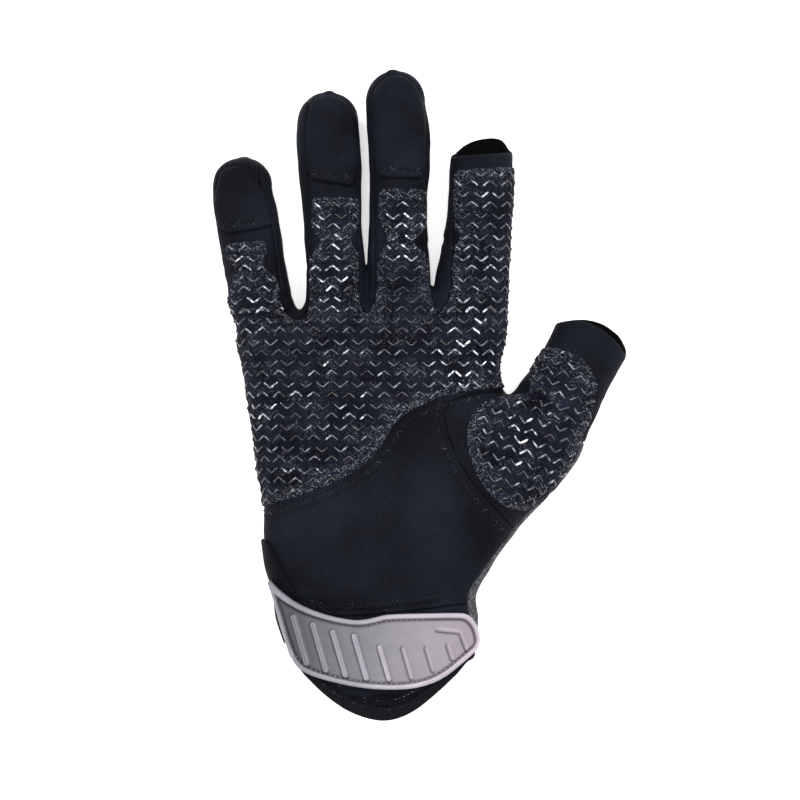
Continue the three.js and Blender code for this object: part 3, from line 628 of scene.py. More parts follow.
def surface_net(field, low, high, step):
    """Triangles over the zero level of a field."""
    axes = [np.arange(a, b, step) for a, b in zip(low, high)]
    shape = tuple(len(a) for a in axes)
    grid = np.stack(np.meshgrid(*axes, indexing="ij"), axis=-1).reshape(-1, 3)
    value = field(grid).reshape(shape)
    stride = np.array([shape[1] * shape[2], shape[2], 1])
    places, cells, quads = [], [], []
    for k in range(3):
        first = [slice(None)] * 3
        second = [slice(None)] * 3
        first[k], second[k] = slice(None, -1), slice(1, None)
        a, b = value[tuple(first)], value[tuple(second)]
        at = np.argwhere((a < 0) != (b < 0))
        da, db = a[tuple(at.T)], b[tuple(at.T)]
        place = at.astype(float)
        place[:, k] += da / (da - db)
        e1, e2 = stride[(k + 1) % 3], stride[(k + 2) % 3]
        cell = at @ stride
        quad = np.stack([cell, cell - e1, cell - e1 - e2, cell - e2], axis=1)
        places += [place] * 4
        cells += list(quad.T)
        quads.append(np.where((da < 0)[:, None], quad, quad[:, ::-1]))
    places, cells, quads = np.concatenate(places), np.concatenate(cells), np.concatenate(quads)
    active, index = np.unique(cells, return_inverse=True)
    count = np.bincount(index)
    mean = np.stack([np.bincount(index, places[:, k]) / count for k in range(3)], axis=1)
    quads = np.searchsorted(active, quads)
    return np.array(low) + mean * step, split_quads(quads)


def relaxed(points, triangles, by=0.6):
    """Each point moved towards the middle of its neighbours."""
    a, b = edges_of(triangles)
    count = np.bincount(a, minlength=len(points))[:, None]
    total = np.stack([np.bincount(a, points[b, k], minlength=len(points)) for k in range(3)], axis=1)
    return (1 - by) * points + by * total / count


def cut(values, triangles, g, both=False):
    """Cuts triangles along g = 0 and keeps the side where g is positive, or both sides."""
    n = len(values)
    keep = g >= 0
    count = keep[triangles].sum(axis=1)
    parts = [triangles[count == 3]] + ([triangles[count == 0]] if both else [])
    mixed = triangles[(count == 1) | (count == 2)]
    kept = keep[mixed]
    lone = np.where(kept.sum(axis=1) == 1, kept.argmax(axis=1), (~kept).argmax(axis=1))
    a, b, c = np.take_along_axis(mixed, (lone[:, None] + np.arange(3)) % 3, axis=1).T
    ends = np.stack([np.concatenate([a, a]), np.concatenate([b, c])])
    keys, index = np.unique(ends.min(axis=0) * n + ends.max(axis=0), return_inverse=True)
    p, q = keys // n, keys % n
    t = (g[p] / (g[p] - g[q]))[:, None]
    values = np.vstack([values, values[p] + t * (values[q] - values[p])])
    ab, ac = n + index[:len(a)], n + index[len(a):]
    tip = np.stack([a, ab, ac], axis=1)
    rest = np.stack([np.stack([ab, b, c], axis=1), np.stack([ab, c, ac], axis=1)], axis=1)
    parts.append(tip if both else tip[keep[a]])
    parts.append((rest if both else rest[~keep[a]]).reshape(-1, 3))
    triangles = np.concatenate(parts)
    used, triangles = np.unique(triangles, return_inverse=True)
    return values[used], triangles.reshape(-1, 3)


def edges_of(triangles):
    """Each triangle's edges, as their first and second points."""
    return triangles.T.ravel(), triangles[:, [1, 2, 0]].T.ravel()


def closed_shell(top, bottom, triangles):
    """A closed mesh from two skins with the same triangles."""
    n = len(top)
    a, b = edges_of(triangles)
    open_edge = ~np.isin(a * n + b, b * n + a)
    a, b = a[open_edge], b[open_edge]
    walls = [np.stack([b, a, a + n], axis=1), np.stack([b, a + n, b + n], axis=1)]
    return np.vstack([top, bottom]), np.concatenate([triangles, triangles[:, ::-1] + n, *walls])


def split_quads(quads):
    return np.concatenate([quads[:, [0, 1, 2]], quads[:, [0, 2, 3]]])


def tube_faces(rings, sides):
    """Triangles round a tube whose points run ring after ring."""
    i, j = np.meshgrid(np.arange(rings - 1), np.arange(sides), indexing="ij")
    a, b = i * sides + j, i * sides + (j + 1) % sides
    return split_quads(np.stack([a, a + sides, b + sides, b], axis=-1).reshape(-1, 4))


def repeated(faces, count, size):
    """The triangles of many equal meshes that have `size` points each."""
    return (faces[None] + np.arange(count)[:, None, None] * size).reshape(-1, 3)


def placed(name, data):
    """A new object of the scene."""
    made = bpy.data.objects.new(name, data)
    bpy.context.collection.objects.link(made)
    return made


def add_piece(name, points, triangles, look, in_cad=False, inner=None, tint=None):
    """A Blender mesh from millimetres. `in_cad` says that it stands for the CAD node of its name.
    `inner` says which triangles are lining. `tint` is a number for each point that the material reads."""
    mesh = bpy.data.meshes.new(name)
    mesh.vertices.add(len(points))
    mesh.vertices.foreach_set("co", ((points + FRAME_SHIFT) * MM).astype(np.float32).ravel())
    mesh.loops.add(len(triangles) * 3)
    mesh.loops.foreach_set("vertex_index", triangles.astype(np.int32).ravel())
    mesh.polygons.add(len(triangles))
    mesh.polygons.foreach_set("loop_start", np.arange(0, len(triangles) * 3, 3, dtype=np.int32))
    mesh.polygons.foreach_set("use_smooth", np.ones(len(triangles), bool))
    mesh.materials.append(LOOKS[look])
    if inner is not None:
        mesh.materials.append(LOOKS["lining"])
        mesh.polygons.foreach_set("material_index", inner.astype(np.int32))
    if tint is not None:
        mesh.attributes.new("tint", "FLOAT", "POINT").data.foreach_set("value", tint.astype(np.float32))
    mesh.update(calc_edges=True)
    piece = placed(name, mesh)
    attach(piece, "root")
    if in_cad:
        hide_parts(name)


def add_merged(name, parts, look):
    """One piece from several meshes, each with its points, triangles and tints."""
    starts = np.cumsum([0] + [len(points) for points, _, _ in parts])
    faces = np.vstack([faces + start for (_, faces, _), start in zip(parts, starts)])
    points, _, tints = zip(*parts)
    add_piece(name, np.vstack(points), faces, look, tint=np.concatenate(tints))


# The body of the glove, cut into its panels

def glove_surface():
    points, triangles = surface_net(glove, *BOX, STEP)
    points = settled(glove, points, times=2)
    for _ in range(2):
        points = settled(glove, relaxed(points, triangles), times=1)
    return points, normals_of(glove, points), triangles


def side_seam_height(x, y):
    base = np.interp(y, *np.array(SEAM, float).T)
    across = (np.column_stack([x, y]) - THUMB_TUBE.origin) @ THUMB_TUBE.across
    rise = THUMB_SIDE_RISE * (1 - ramp(y, -16, 4)) + WRIST_SIDE_RISE * ramp(-y, 52, 72)
    return base + rise * ramp(across, -3, 7) * ramp(x, -5, 8)


def above_seam(p):
    return p[:, 2] - side_seam_height(p[:, 0], p[:, 1])


def turned_over(front, back, p):
    """Values on the palm side and on the back, turned into each other at the side seam."""
    t = ramp(above_seam(p), -TURN_OVER, TURN_OVER)
    return front * t + back * (1 - t)


def blended(front, back, p):
    """The y of a line that runs over the palm side and the back."""
    return turned_over(height_on(front, p[:, 0]), height_on(back, p[:, 0]), p)


def within_rims(p):
    """Distance to the open ends, positive on the glove."""
    x, y = p[:, 0], p[:, 1]
    index = np.where((x > 7) & (y > 60), blended(INDEX_RIM, INDEX_BACK_RIM, p) - y, 50)
    thumb = np.where((x > 44) & (y > 0), 0.8 * (blended(THUMB_RIM, THUMB_BACK_RIM, p) - y), 50)
    hem = np.where(y < -60, y - blended(HEM_EDGE, BACK_HEM_EDGE, p), 50)
    return np.minimum(np.minimum(index, thumb), hem)


def palm_outline():
    s = FINGER_SEAMS
    return [
        *WRIST_SEAM, *THUMB_SEAM, (40, 150),
        *s["index left"], CROTCH["index_middle"], *s["middle right"][::-1],
        *s["middle left"], CROTCH["middle_ring"], *s["ring right"][::-1],
        *s["ring left"], CROTCH["ring_little"], *s["little right"][::-1], (-100, 150), (-100, -79),
    ]


def grip_outline():
    outline = [*GRIP_LOWER_EDGE]
    for strip, crotch in zip(GRIP_STRIPS, ["index_middle", "middle_ring", "ring_little", None]):
        outline += strip
        if crotch:
            outline.append((CROTCH[crotch][0], CROTCH[crotch][1] - 1.2))
    return outline + [(-95, -46)]


def panel_fields(p):
    """For each panel, the distance to its nearest seam, positive on the panel."""
    xy = p[:, :2]
    up, kept = above_seam(p), within_rims(p)
    palm = inside(rounded(palm_outline(), True, 1), xy)
    thumb = inside([*THUMB_SEAM, (40, 45), (150, 45), (150, -60)], xy)
    thumb_back = inside([*BACK_THUMB_SEAM, (150, -22), (150, 45)], xy)
    over_hem = p[:, 1] - HEM_WIDTH - blended(HEM_EDGE, BACK_HEM_EDGE, p)
    below_wrist = height_on(WRIST_SEAM, p[:, 0]) - p[:, 1]
    fields = {
        "palm_panel": [up, palm],
        "back_panel": [-up, -thumb_back, over_hem],
        "thumb_front_panel": [up, thumb],
        "thumb_back_panel": [-up, thumb_back],
        "cuff_panel": [up, below_wrist, over_hem],
        "cuff_hem": [HEM_LAP - over_hem],
    }
    for name, (left, right) in FOURCHETTE_SIDES.items():
        x, y = p[:, 0], p[:, 1]
        fields[f"fourchette_{name}"] = [up, -palm, x - left, right - x, y - 24]
    return {name: np.minimum.reduce([*parts, kept]) for name, parts in fields.items()}


def patch_of(surface, g, levels):
    """The part of the surface where g is positive, cut finely near its edge."""
    points, normals, triangles = surface
    values = np.column_stack([points, normals, g])
    near = g > -CUT_REACH
    triangles = triangles[near[triangles].any(axis=1)]
    values, triangles = cut(values, triangles, values[:, 6] - levels[0])
    for level in levels[1:]:
        values, triangles = cut(values, triangles, values[:, 6] - level, both=True)
    return values[:, :3], values[:, 3:6], values[:, 6], triangles


def edge_turn(g, width):
    """From 1 at an edge to 0 away from it, as a quarter round."""
    t = np.clip(1 - g / width, 0, 1)
    return 1 - np.sqrt(1 - t ** 2 * 0.999)


def build_panel(name, surface, g, look):
    p, n, g, triangles = patch_of(surface, g, PANEL_CUTS)
    drop = SEAM_DROP * edge_turn(g - SEAM_GAP, SEAM_ROUND)
    points, faces = closed_shell(p + n * (folds(p) - drop)[:, None], p - n * WALL, triangles)
    add_piece(name, points, faces, look, in_cad=True, inner=(faces >= len(p)).any(axis=1))


def build_layer(name, surface, g, heights, look, lift=None, thinned=0.6):
    """A layer sewn on the glove: heights are its underside and top over the glove's surface.
    `lift` says how far a loose edge stands off, `thinned` what share of its thickness an edge loses."""
    p, n, g, triangles = patch_of(surface, g, LAYER_CUTS)
    low, high = heights
    base = folds(p) + (lift(p) if lift else 0)
    top = p + n * (base + high - thinned * (high - max(low, 0)) * edge_turn(g, LAYER_CUTS[-1]))[:, None]
    points, faces = closed_shell(top, p + n * (base + low)[:, None], triangles)
    edge = np.exp(-g / EDGE_FUZZ)
    add_piece(name, points, faces, look, in_cad=True, tint=np.concatenate([edge, edge]))


# Charts: a flat pattern carried onto the curved surface

def dropped(field, flat, level, times, lowest=-1e9):
    """Points seen from above, let down from over the glove onto a level of the field."""
    p = np.column_stack([flat, np.full(len(flat), DROP["from"])])
    for _ in range(times):
        p[:, 2] = np.maximum(p[:, 2] - DROP["share"] * (field(p) - level), lowest)
    return p


class Chart:
    """Rows across the glove's palm side. u runs along a row over the surface, v from row to row."""

    def __init__(self, field, middle, u_range, v_range, turn=0.0, origin=(0, 0), level=0.0, step=0.5):
        c, s = math.cos(math.radians(turn)), math.sin(math.radians(turn))
        self.across, self.axis = np.array([c, s]), np.array([-s, c])
        self.step = step
        self.v = np.arange(v_range[0], v_range[1] + step, step)
        self.middle = middle(self.v) if callable(middle) else np.full(len(self.v), middle)
        spine = np.array(origin) + self.middle[:, None] * self.across + self.v[:, None] * self.axis
        start = dropped(field, spine, level, 60)
        columns = {0: start}
        direction, axis = np.array([*self.across, 0]), np.array([*self.axis, 0])
        for sign, u in zip((-1, 1), u_range):
            p = start
            heading = np.tile(direction * sign, (len(p), 1))
            for i in range(1, int(abs(u) / step) + 1):
                n = normals_of(field, p)
                flat = unit(n - (n @ axis)[:, None] * axis)
                heading = unit(heading - (heading * flat).sum(1)[:, None] * flat)
                p = p + heading * step
                p = p - (flat * ((field(p) - level) / np.maximum((n * flat).sum(1), 0.3))[:, None])
                columns[sign * i] = p
        order = sorted(columns)
        self.first = order[0] * step
        self.grid = np.stack([columns[i] for i in order], axis=1)
        flat_points = self.grid.reshape(-1, 3)
        self.normal = normals_of(field, flat_points).reshape(self.grid.shape)
        self.lift = folds(flat_points).reshape(self.grid.shape[:2])

    def _corners(self, uv):
        u, v = uv[..., 0], uv[..., 1]
        row = np.clip((v - self.v[0]) / self.step, 0, len(self.v) - 1.001)
        middle = np.interp(v, self.v, self.middle)
        column = np.clip((u - middle - self.first) / self.step, 0, self.grid.shape[1] - 1.001)
        i, j = row.astype(int), column.astype(int)
        return i, j, row - i, column - j

    def _mixed(self, table, corners):
        i, j, a, b = corners
        if table.ndim == 3:
            a, b = a[..., None], b[..., None]
        return ((table[i, j] * (1 - b) + table[i, j + 1] * b) * (1 - a)
                + (table[i + 1, j] * (1 - b) + table[i + 1, j + 1] * b) * a)

    def place(self, uv, height, folded=True):
        """Points over the surface at u, v, that much above it."""
        corners = self._corners(uv)
        lift = self._mixed(self.lift, corners) if folded else 0
        rise = np.broadcast_to(height + lift, uv.shape[:-1])
        return self._mixed(self.grid, corners) + self._mixed(self.normal, corners) * rise[..., None]

    def flattened(self, xy):
        """Points seen from above, as u and v. What lies past the side goes to the side."""
        out = []
        for x, y in xy:
            i = int(np.clip(round((y - self.v[0]) / self.step), 0, len(self.v) - 1))
            row = self.grid[i, :, 0]
            a, b = row.argmin(), row.argmax()
            columns = np.arange(a, b + 1)
            j = np.interp(x, row[a:b + 1], columns)
            out.append((self.middle[i] + self.first + j * self.step, y))
        return np.array(out)


def strokes(chart, lines, shares, g_of):
    """Raised strokes along lines of u, v points (count, points, 2), and how much painted shine each point of
    them gets.
    `shares` weighs the rising and the falling painted shine. Where g_of says outside they sink away."""
    side = left_of(unit(np.gradient(lines, axis=1)))
    count, m = lines.shape[:2]
    n = len(STROKE_ACROSS)
    at_end = np.isin(np.arange(m), (0, m - 1))
    wide = np.where(at_end, STROKE_END["width"], 1.0) * CHEVRON["width"] / 2
    uv = lines[:, :, None] + side[:, :, None] * (wide[:, None] * STROKE_ACROSS)[:, :, None]
    rise = np.where(at_end, STROKE_END["height"], 1.0)[:, None] * STROKE_UP * CHEVRON["height"]
    points = chart.place(uv, GRIP + rise)
    spine = chart.place(lines, 0).reshape(-1, 3)
    shown = g_of(spine).reshape(count, m) > 0
    # Painted shine: the strokes' colour gets lighter along their tops, where a highlight would be.
    shine = (painted_shine_at(spine).reshape(count, m, 2) * shares).sum(axis=2)
    tint = np.clip(shine[:, :, None] * STROKE_PAINTED_SHINE, 0, 1)
    points = np.where(shown[:, :, None, None], points, chart.place(uv, GRIP - STROKE_SUNK))
    alive = shown.sum(axis=1) >= 3
    points, tint = points[alive], tint[alive]
    ends = np.array([[0, 1, 2], [0, 2, 3], [0, 3, 4]])
    one = np.concatenate([tube_faces(m, n), ends, ends[:, ::-1] + (m - 1) * n])
    return points.reshape(-1, 3), repeated(one, len(points), m * n), tint.ravel()


def painted_shine_at(p):
    """How much painted highlight the print's rising and falling arms get at each point, as a lighter colour.
    """
    total = np.full((len(p), 2), PAINTED_SHINE_BASE)
    for x, y, reach, rising, falling in PAINTED_SHINE:
        near = np.exp(-((p[:, 0] - x) ** 2 + (p[:, 1] - y) ** 2) / reach ** 2)
        total += near[:, None] * np.array([rising, falling])
    return total * (1 + 0.35 * waves(p, 7, 8))[:, None]


def chevron_lines(u_range, v_range, seed):
    """Lines of the zigzag print in a box of u and v, and how their points share in each painted shine."""
    random = np.random.default_rng(seed)
    period, row = CHEVRON["period"], CHEVRON["row"]
    dx, dy = CHEVRON["arm"]
    t = np.linspace(-1, 1, STROKE_POINTS)
    lines, shares = [], []
    for r in range(int(v_range[0] // row), int(v_range[1] // row) + 1):
        turned = 1 if r % 2 == 0 else -1
        for k in range(int(u_range[0] // period), int(u_range[1] // period) + 1):
            u = (k + (0.5 if turned < 0 else 0)) * period + random.normal(0, VARIED["place"])
            v = r * row + random.normal(0, VARIED["place"])
            rounding = np.sqrt(t ** 2 + CHEVRON["round"]) - math.sqrt(CHEVRON["round"])
            reach = random.uniform(*VARIED["size"])
            lines.append(np.stack([u + t * dx * reach, v + turned * dy * (0.5 - rounding * reach)], axis=1))
            rising, falling = random.uniform(*VARIED["shine"], 2) * (random.random(2) > VARIED["dull"])
            goes_up = ramp(-t * turned, -0.15, 0.15)
            shares.append(np.stack([goes_up * rising, (1 - goes_up) * falling], axis=1))
    return np.array(lines), np.array(shares)


# Stitches

def landed(xy):
    """Points on the glove under points seen from above."""
    return dropped(glove, xy, 0.0, 80, FLOOR)


def stitch_meshes(points, normals, directions, length, thick, shades):
    """A short thread bead at each point, each with its shade."""
    rings, sides = BEAD
    t = np.linspace(0, math.pi, rings)
    turn = np.arange(sides) * 2 * math.pi / sides
    x = -np.cos(t) * length / 2
    r = np.sin(t) ** 0.6 * thick / 2
    ends_down = 0.36 * thick * np.cos(t) ** 2
    out = r[:, None] * np.cos(turn)
    up = r[:, None] * np.sin(turn) - ends_down[:, None]
    ring = points[:, None, None] + directions[:, None, None] * x[:, None, None]
    ring = ring + np.cross(normals, directions)[:, None, None] * out[:, :, None]
    ring = ring + normals[:, None, None] * up[:, :, None]
    faces = repeated(tube_faces(rings, sides)[:, ::-1], len(points), rings * sides)
    return ring.reshape(-1, 3), faces, np.repeat(shades, rings * sides)


def on_glove(line, pitch, seed):
    """Places every `pitch` millimetres along a line seen from above: points, directions and normals."""
    random = np.random.default_rng(seed)
    p = landed(resampled(line, EDGE_STEP))
    p = p[glove(p) < NEAR_GLOVE]
    run = run_of(p)
    at = np.arange(pitch / 2, run[-1], pitch)
    at = at + random.normal(0, 0.04 * pitch, len(at))
    centre = points_at(at, run, p)
    direction = unit(points_at(at + 0.4, run, p) - centre)
    held = np.linalg.norm(direction, axis=1) > 0.5
    centre, direction = centre[held], direction[held]
    return centre, direction, normals_of(glove, centre)


def stitch_row(line, lift, seed, pitch, length, thick, shade, turn=0.0):
    """A row of stitches along a line seen from above. With a turn they lean to both sides, as a zigzag."""
    centre, direction, normal = on_glove(line, pitch, seed)
    sideways = np.cross(normal, direction)
    lean = np.radians(turn) * np.where(np.arange(len(centre)) % 2 == 0, 1, -1)[:, None]
    direction = direction * np.cos(lean) + sideways * np.sin(lean)
    centre = centre + normal * (folds(centre) + lift)[:, None]
    shades = shade[0] + (shade[1] - shade[0]) * np.random.default_rng(seed + 500).random(len(centre)) ** 2
    return stitch_meshes(centre, normal, direction, length, thick, shades)


def strands(outline, count, reach, size, seed):
    """Loose fibres along an outline seen from above, from `reach[0]` inside it to `reach[1]` outside."""
    random = np.random.default_rng(seed)
    edge = resampled(outline, EDGE_STEP)
    at = random.integers(1, len(edge) - 1, count)
    along = unit(edge[at + 1] - edge[at - 1])
    outward = -left_of(along)
    root = edge[at] + outward * (reach[1] - (reach[0] + reach[1]) * random.random(count) ** 0.7)[:, None]
    turn = random.uniform(0.5, 2.6, count) * random.choice([-1, 1], count)
    heading = outward * np.cos(turn)[:, None] + along * np.sin(turn)[:, None]
    bend = random.uniform(-0.5, 0.5, count)[:, None] * left_of(heading)
    t = np.linspace(0, 1, 4)[:, None]
    length = random.uniform(*size, count)[:, None, None]
    flat = root[:, None] + length * (heading[:, None] * t + bend[:, None] * t ** 2)
    p = landed(flat.reshape(-1, 2)).reshape(count, 4, 3)
    held = (glove(p.reshape(-1, 3)).reshape(count, 4) < NEAR_GLOVE).all(axis=1)
    held &= np.linalg.norm(np.diff(p, axis=1), axis=2).max(axis=1) < 1.5
    p = p[held]
    normal = normals_of(glove, p.reshape(-1, 3)).reshape(p.shape)
    rise = FIBRE_LIFT + FIBRE_RISE + folds(p.reshape(-1, 3)).reshape(-1, 4)
    p = p + normal * rise[..., None]
    side = unit(np.cross(normal, np.gradient(p, axis=1)))
    thin = FIBRE_THICK[:, None]
    rings = np.stack([p + side * thin, p + normal * thin * 1.2, p - side * thin], axis=2)
    one = np.concatenate([tube_faces(4, 3), [[0, 1, 2], [11, 10, 9]]])
    tint = np.repeat(random.random(len(p)) ** 2, 12)
    return rings.reshape(-1, 3), repeated(one, len(p), 12), tint


# Materials

def srgb(*levels):
    """A colour from its 0 to 255 levels as a screen shows them."""
    linear = [((c / 255 + 0.055) / 1.055) ** 2.4 if c > 10 else c / 255 / 12.92 for c in levels]
    return (*linear, 1.0)


class Nodes:
    """A principled material and short ways to add nodes to it."""

    def __init__(self, name, roughness, specular):
        self.material = bpy.data.materials.new(name)
        self.material.use_nodes = True
        self.tree = self.material.node_tree
        self.shader = self.tree.nodes["Principled BSDF"]
        self.shader.inputs["Roughness"].default_value = roughness
        self.shader.inputs["Specular IOR Level"].default_value = specular
        self.where = self.add("ShaderNodeTexCoord").outputs["Object"]

    def feed(self, socket, value):
        """Sets a socket, or links it where the value is another node's output."""
        if isinstance(value, bpy.types.NodeSocket):
            self.tree.links.new(value, socket)
        else:
            socket.default_value = value

    def add(self, kind, **inputs):
        node = self.tree.nodes.new(kind)
        for name, value in inputs.items():
            self.feed(node.inputs[name.replace("_", " ")], value)
        return node

    def link(self, output, name):
        self.tree.links.new(output, self.shader.inputs[name])

    def paint(self, colour):
        self.link(colour, "Base Color")

    def noise(self, size, detail=2.0, distortion=0.0):
        """Noise with features of about that many millimetres."""
        made = self.add("ShaderNodeTexNoise", Vector=self.where, Scale=1 / (size * MM), Detail=detail,
                        Distortion=distortion)
        return made.outputs["Fac"]

    def ramp(self, factor, stops):
        node = self.add("ShaderNodeValToRGB", Fac=factor)
        elements = node.color_ramp.elements
        while len(elements) < len(stops):
            elements.new(0.5)
        for element, (at, colour) in zip(elements, stops):
            element.position = at
            element.color = colour if len(colour) == 4 else (*colour, 1)
        return node.outputs["Color"]

    def math(self, operation, a, b):
        node = self.tree.nodes.new("ShaderNodeMath")
        node.operation = operation
        self.feed(node.inputs[0], a)
        self.feed(node.inputs[1], b)
        return node.outputs["Value"]

    def mix(self, factor, a, b, kind="MIX"):
        node = self.tree.nodes.new("ShaderNodeMix")
        node.data_type, node.blend_type = "RGBA", kind
        for place, value in ((0, factor), (6, a), (7, b)):
            self.feed(node.inputs[place], value)
        return node.outputs[2]

    def wave(self, pitch, direction, distortion=0.0):
        made = self.add("ShaderNodeTexWave", Vector=self.where, Scale=math.pi / (10 * pitch * MM),
                        Distortion=distortion)
        made.bands_direction = direction
        return made.outputs["Fac"]

    def bump(self, height, strength, distance):
        node = self.add("ShaderNodeBump", Height=height, Strength=strength, Distance=distance * MM)
        self.link(node.outputs["Normal"], "Normal")

    def tint(self):
        """The number that the piece carries at each point."""
        node = self.tree.nodes.new("ShaderNodeAttribute")
        node.attribute_name = "tint"
        return node.outputs["Fac"]

    def grey(self, factor, low, high):
        """A grey that runs from one place and level to another."""
        return self.ramp(factor, [(at, (level,) * 3) for at, level in (low, high)])

    def knit(self, across, along, distortion):
        """Rows of waves both ways."""
        return self.math("MULTIPLY", self.wave(across, "X", distortion), self.wave(along, "Y", distortion))


def smooth_neoprene(m):
    cloth = m.ramp(m.noise(24), [(0.34, srgb(6, 7, 13)), (0.66, srgb(19, 22, 31))])
    fibres = m.ramp(m.noise(0.45), [(0.60, (0, 0, 0)), (0.80, (0.10, 0.105, 0.12))])
    m.paint(m.mix(0.16, cloth, fibres, "ADD"))
    m.bump(m.math("ADD", m.knit(0.55, 0.55, 0.6), m.noise(0.5)), 0.5, 0.15)
    m.link(m.grey(m.noise(6), (0.3, 0.66), (0.7, 0.80)), "Roughness")


def grip_fabric(m):
    cloth = m.ramp(m.noise(9, 3), [(0.3, srgb(5, 6, 13)), (0.7, srgb(23, 25, 38))])
    patches = m.grey(m.noise(6), (0.45, 0.03), (0.68, 0.42))
    spread = m.math("ADD", patches, m.math("MULTIPLY", m.tint(), 0.7))
    fleck = m.math("MULTIPLY", m.grey(m.noise(0.8, 3, 1.5), (0.54, 0.0), (0.67, 1.0)), spread)
    m.paint(m.mix(fleck, cloth, srgb(134, 137, 149)))
    m.bump(m.math("ADD", m.knit(0.9, 0.9, 2.0), m.noise(0.6, 3)), 0.9, 0.3)


def silicone_print(m):
    # Painted glints: the tint lightens the black strokes up to near white in short patches.
    painted_glints = m.math("MULTIPLY", m.tint(), m.grey(m.noise(1.4), (0.40, 0.3), (0.60, 1.4)))
    m.paint(m.ramp(painted_glints, [
        (0.02, srgb(12, 13, 18)), (0.22, srgb(60, 62, 71)), (0.55, srgb(160, 163, 172)),
        (0.95, srgb(250, 250, 252)),
    ]))
    m.link(m.grey(m.noise(1.0), (0.35, 0.14), (0.65, 0.30)), "Roughness")
    m.bump(m.noise(0.5), 0.3, 0.08)


def grip_fibre(m):
    shades = [(0.0, srgb(26, 27, 34)), (0.5, srgb(84, 87, 97)), (1.0, srgb(178, 181, 190))]
    m.paint(m.ramp(m.tint(), shades))


def heather_fabric(m):
    fibre = m.noise(0.55, 4, 2.0)
    melange = m.ramp(fibre, [
        (0.34, srgb(16, 17, 20)), (0.47, srgb(56, 58, 62)), (0.56, srgb(90, 92, 96)),
        (0.68, srgb(168, 169, 172)),
    ])
    shade = m.ramp(m.noise(3.5), [(0.3, (0.55, 0.55, 0.56)), (0.7, (1, 1, 1))])
    m.paint(m.mix(1.0, melange, shade, "MULTIPLY"))
    m.bump(m.math("ADD", m.knit(0.8, 1.1, 1.2), fibre), 0.7, 0.25)


def strap_fabric(m):
    m.paint(m.ramp(m.noise(5), [(0.3, srgb(4, 5, 10)), (0.7, srgb(10, 11, 18))]))
    m.bump(m.math("ADD", m.wave(0.7, "Y", 0.4), m.noise(0.4)), 0.5, 0.15)


def strap_rubber(m):
    # Lighter and more lilac towards the right end; the lightening is painted light from the right.
    along = m.add("ShaderNodeSeparateXYZ", Vector=m.where).outputs["X"]
    place = m.math("ADD", m.math("MULTIPLY", along, 1 / (80 * MM)), 0.7)
    base = m.ramp(place, [
        (0.0, srgb(78, 77, 82)), (0.40, srgb(96, 94, 100)), (0.70, srgb(128, 123, 130)),
        (1.0, srgb(148, 137, 146)),
    ])
    cloud = m.ramp(m.noise(5, 3), [(0.3, (0.88, 0.88, 0.90)), (0.7, (1, 1, 1))])
    # The tint paints light and shade: crests and border lighter, rib feet and groove darker.
    raised = m.ramp(m.tint(), [
        (0.0, (0.04, 0.04, 0.05)), (0.3, (0.55, 0.55, 0.57)), (0.5, (1, 1, 1)), (0.75, (1.9, 1.9, 1.9)),
        (1.0, (3.0, 3.0, 3.0)),
    ])
    m.paint(m.mix(1.0, m.mix(1.0, base, cloud, "MULTIPLY"), raised, "MULTIPLY"))
    m.link(m.grey(m.noise(3), (0.3, 0.36), (0.7, 0.50)), "Roughness")
    m.bump(m.noise(0.35), 0.12, 0.06)


def thread(m):
    # Black to light grey by the tint; the lighter greys are partly thread colour and partly painted
    # highlight.
    m.paint(m.ramp(m.tint(), [(0.0, srgb(2, 2, 4)), (0.4, srgb(28, 30, 37)), (1.0, srgb(112, 114, 124))]))
    m.bump(m.noise(0.2), 0.5, 0.05)


def tab_thread(m):
    m.paint(m.ramp(m.noise(1.5), [(0.35, srgb(128, 125, 131)), (0.7, srgb(186, 182, 189))]))
    m.bump(m.noise(0.2), 0.5, 0.05)


def cuff_knit(m):
    ribs = m.wave(1.15, "X", 0.5)
    m.paint(m.mix(ribs, srgb(6, 7, 9), srgb(20, 22, 27)))
    m.bump(m.math("ADD", ribs, m.math("MULTIPLY", m.noise(0.4), 0.4)), 0.6, 0.25)


def lining(m):
    m.paint(m.ramp(m.noise(0.8, 3), [(0.35, srgb(3, 3, 4)), (0.7, srgb(9, 9, 11))]))
    m.bump(m.noise(0.5, 3), 0.6, 0.2)


def floor_paint(m):
    m.shader.inputs["Emission Color"].default_value = (1, 1, 1, 1)
    m.shader.inputs["Emission Strength"].default_value = FLOOR_GLOW
    m.paint(m.ramp(m.noise(60), [(0.3, (0.93, 0.93, 0.93)), (0.7, (0.95, 0.95, 0.95))]))


# Each look's wiring, roughness and specular level.
WIRING = [
    (smooth_neoprene, 0.75, 0.07), (grip_fabric, 0.8, 0.05), (silicone_print, 0.25, 0.5),
    (grip_fibre, 0.6, 0.2), (heather_fabric, 0.92, 0.1), (strap_fabric, 0.7, 0.06),
    (strap_rubber, 0.42, 0.4), (thread, 0.5, 0.15), (tab_thread, 0.5, 0.2), (cuff_knit, 0.85, 0.1),
    (lining, 0.95, 0.05), (floor_paint, 0.9, 0.1),
]
LOOKS = {}
for wire_up, roughness, specular in WIRING:
    nodes = Nodes(wire_up.__name__, roughness, specular)
    wire_up(nodes)
    LOOKS[wire_up.__name__] = nodes.material
# Looks whose slot has another look's name.
PANEL_LOOKS = {"back_panel": "heather_fabric", "cuff_hem": "cuff_knit"}  # the others are smooth_neoprene


# Pieces

def build_body(surface):
    for name, g in panel_fields(surface[0]).items():
        build_panel(name, surface, g, PANEL_LOOKS.get(name, "smooth_neoprene"))


def on_finger(name, p):
    """Positive on the palm side of one finger."""
    tube = FINGER_TUBES[name]
    left, right = tube.section(p[:, 1])[:2]
    return np.minimum(p[:, 0] - left, right - p[:, 0]) + FINGER_SPARE


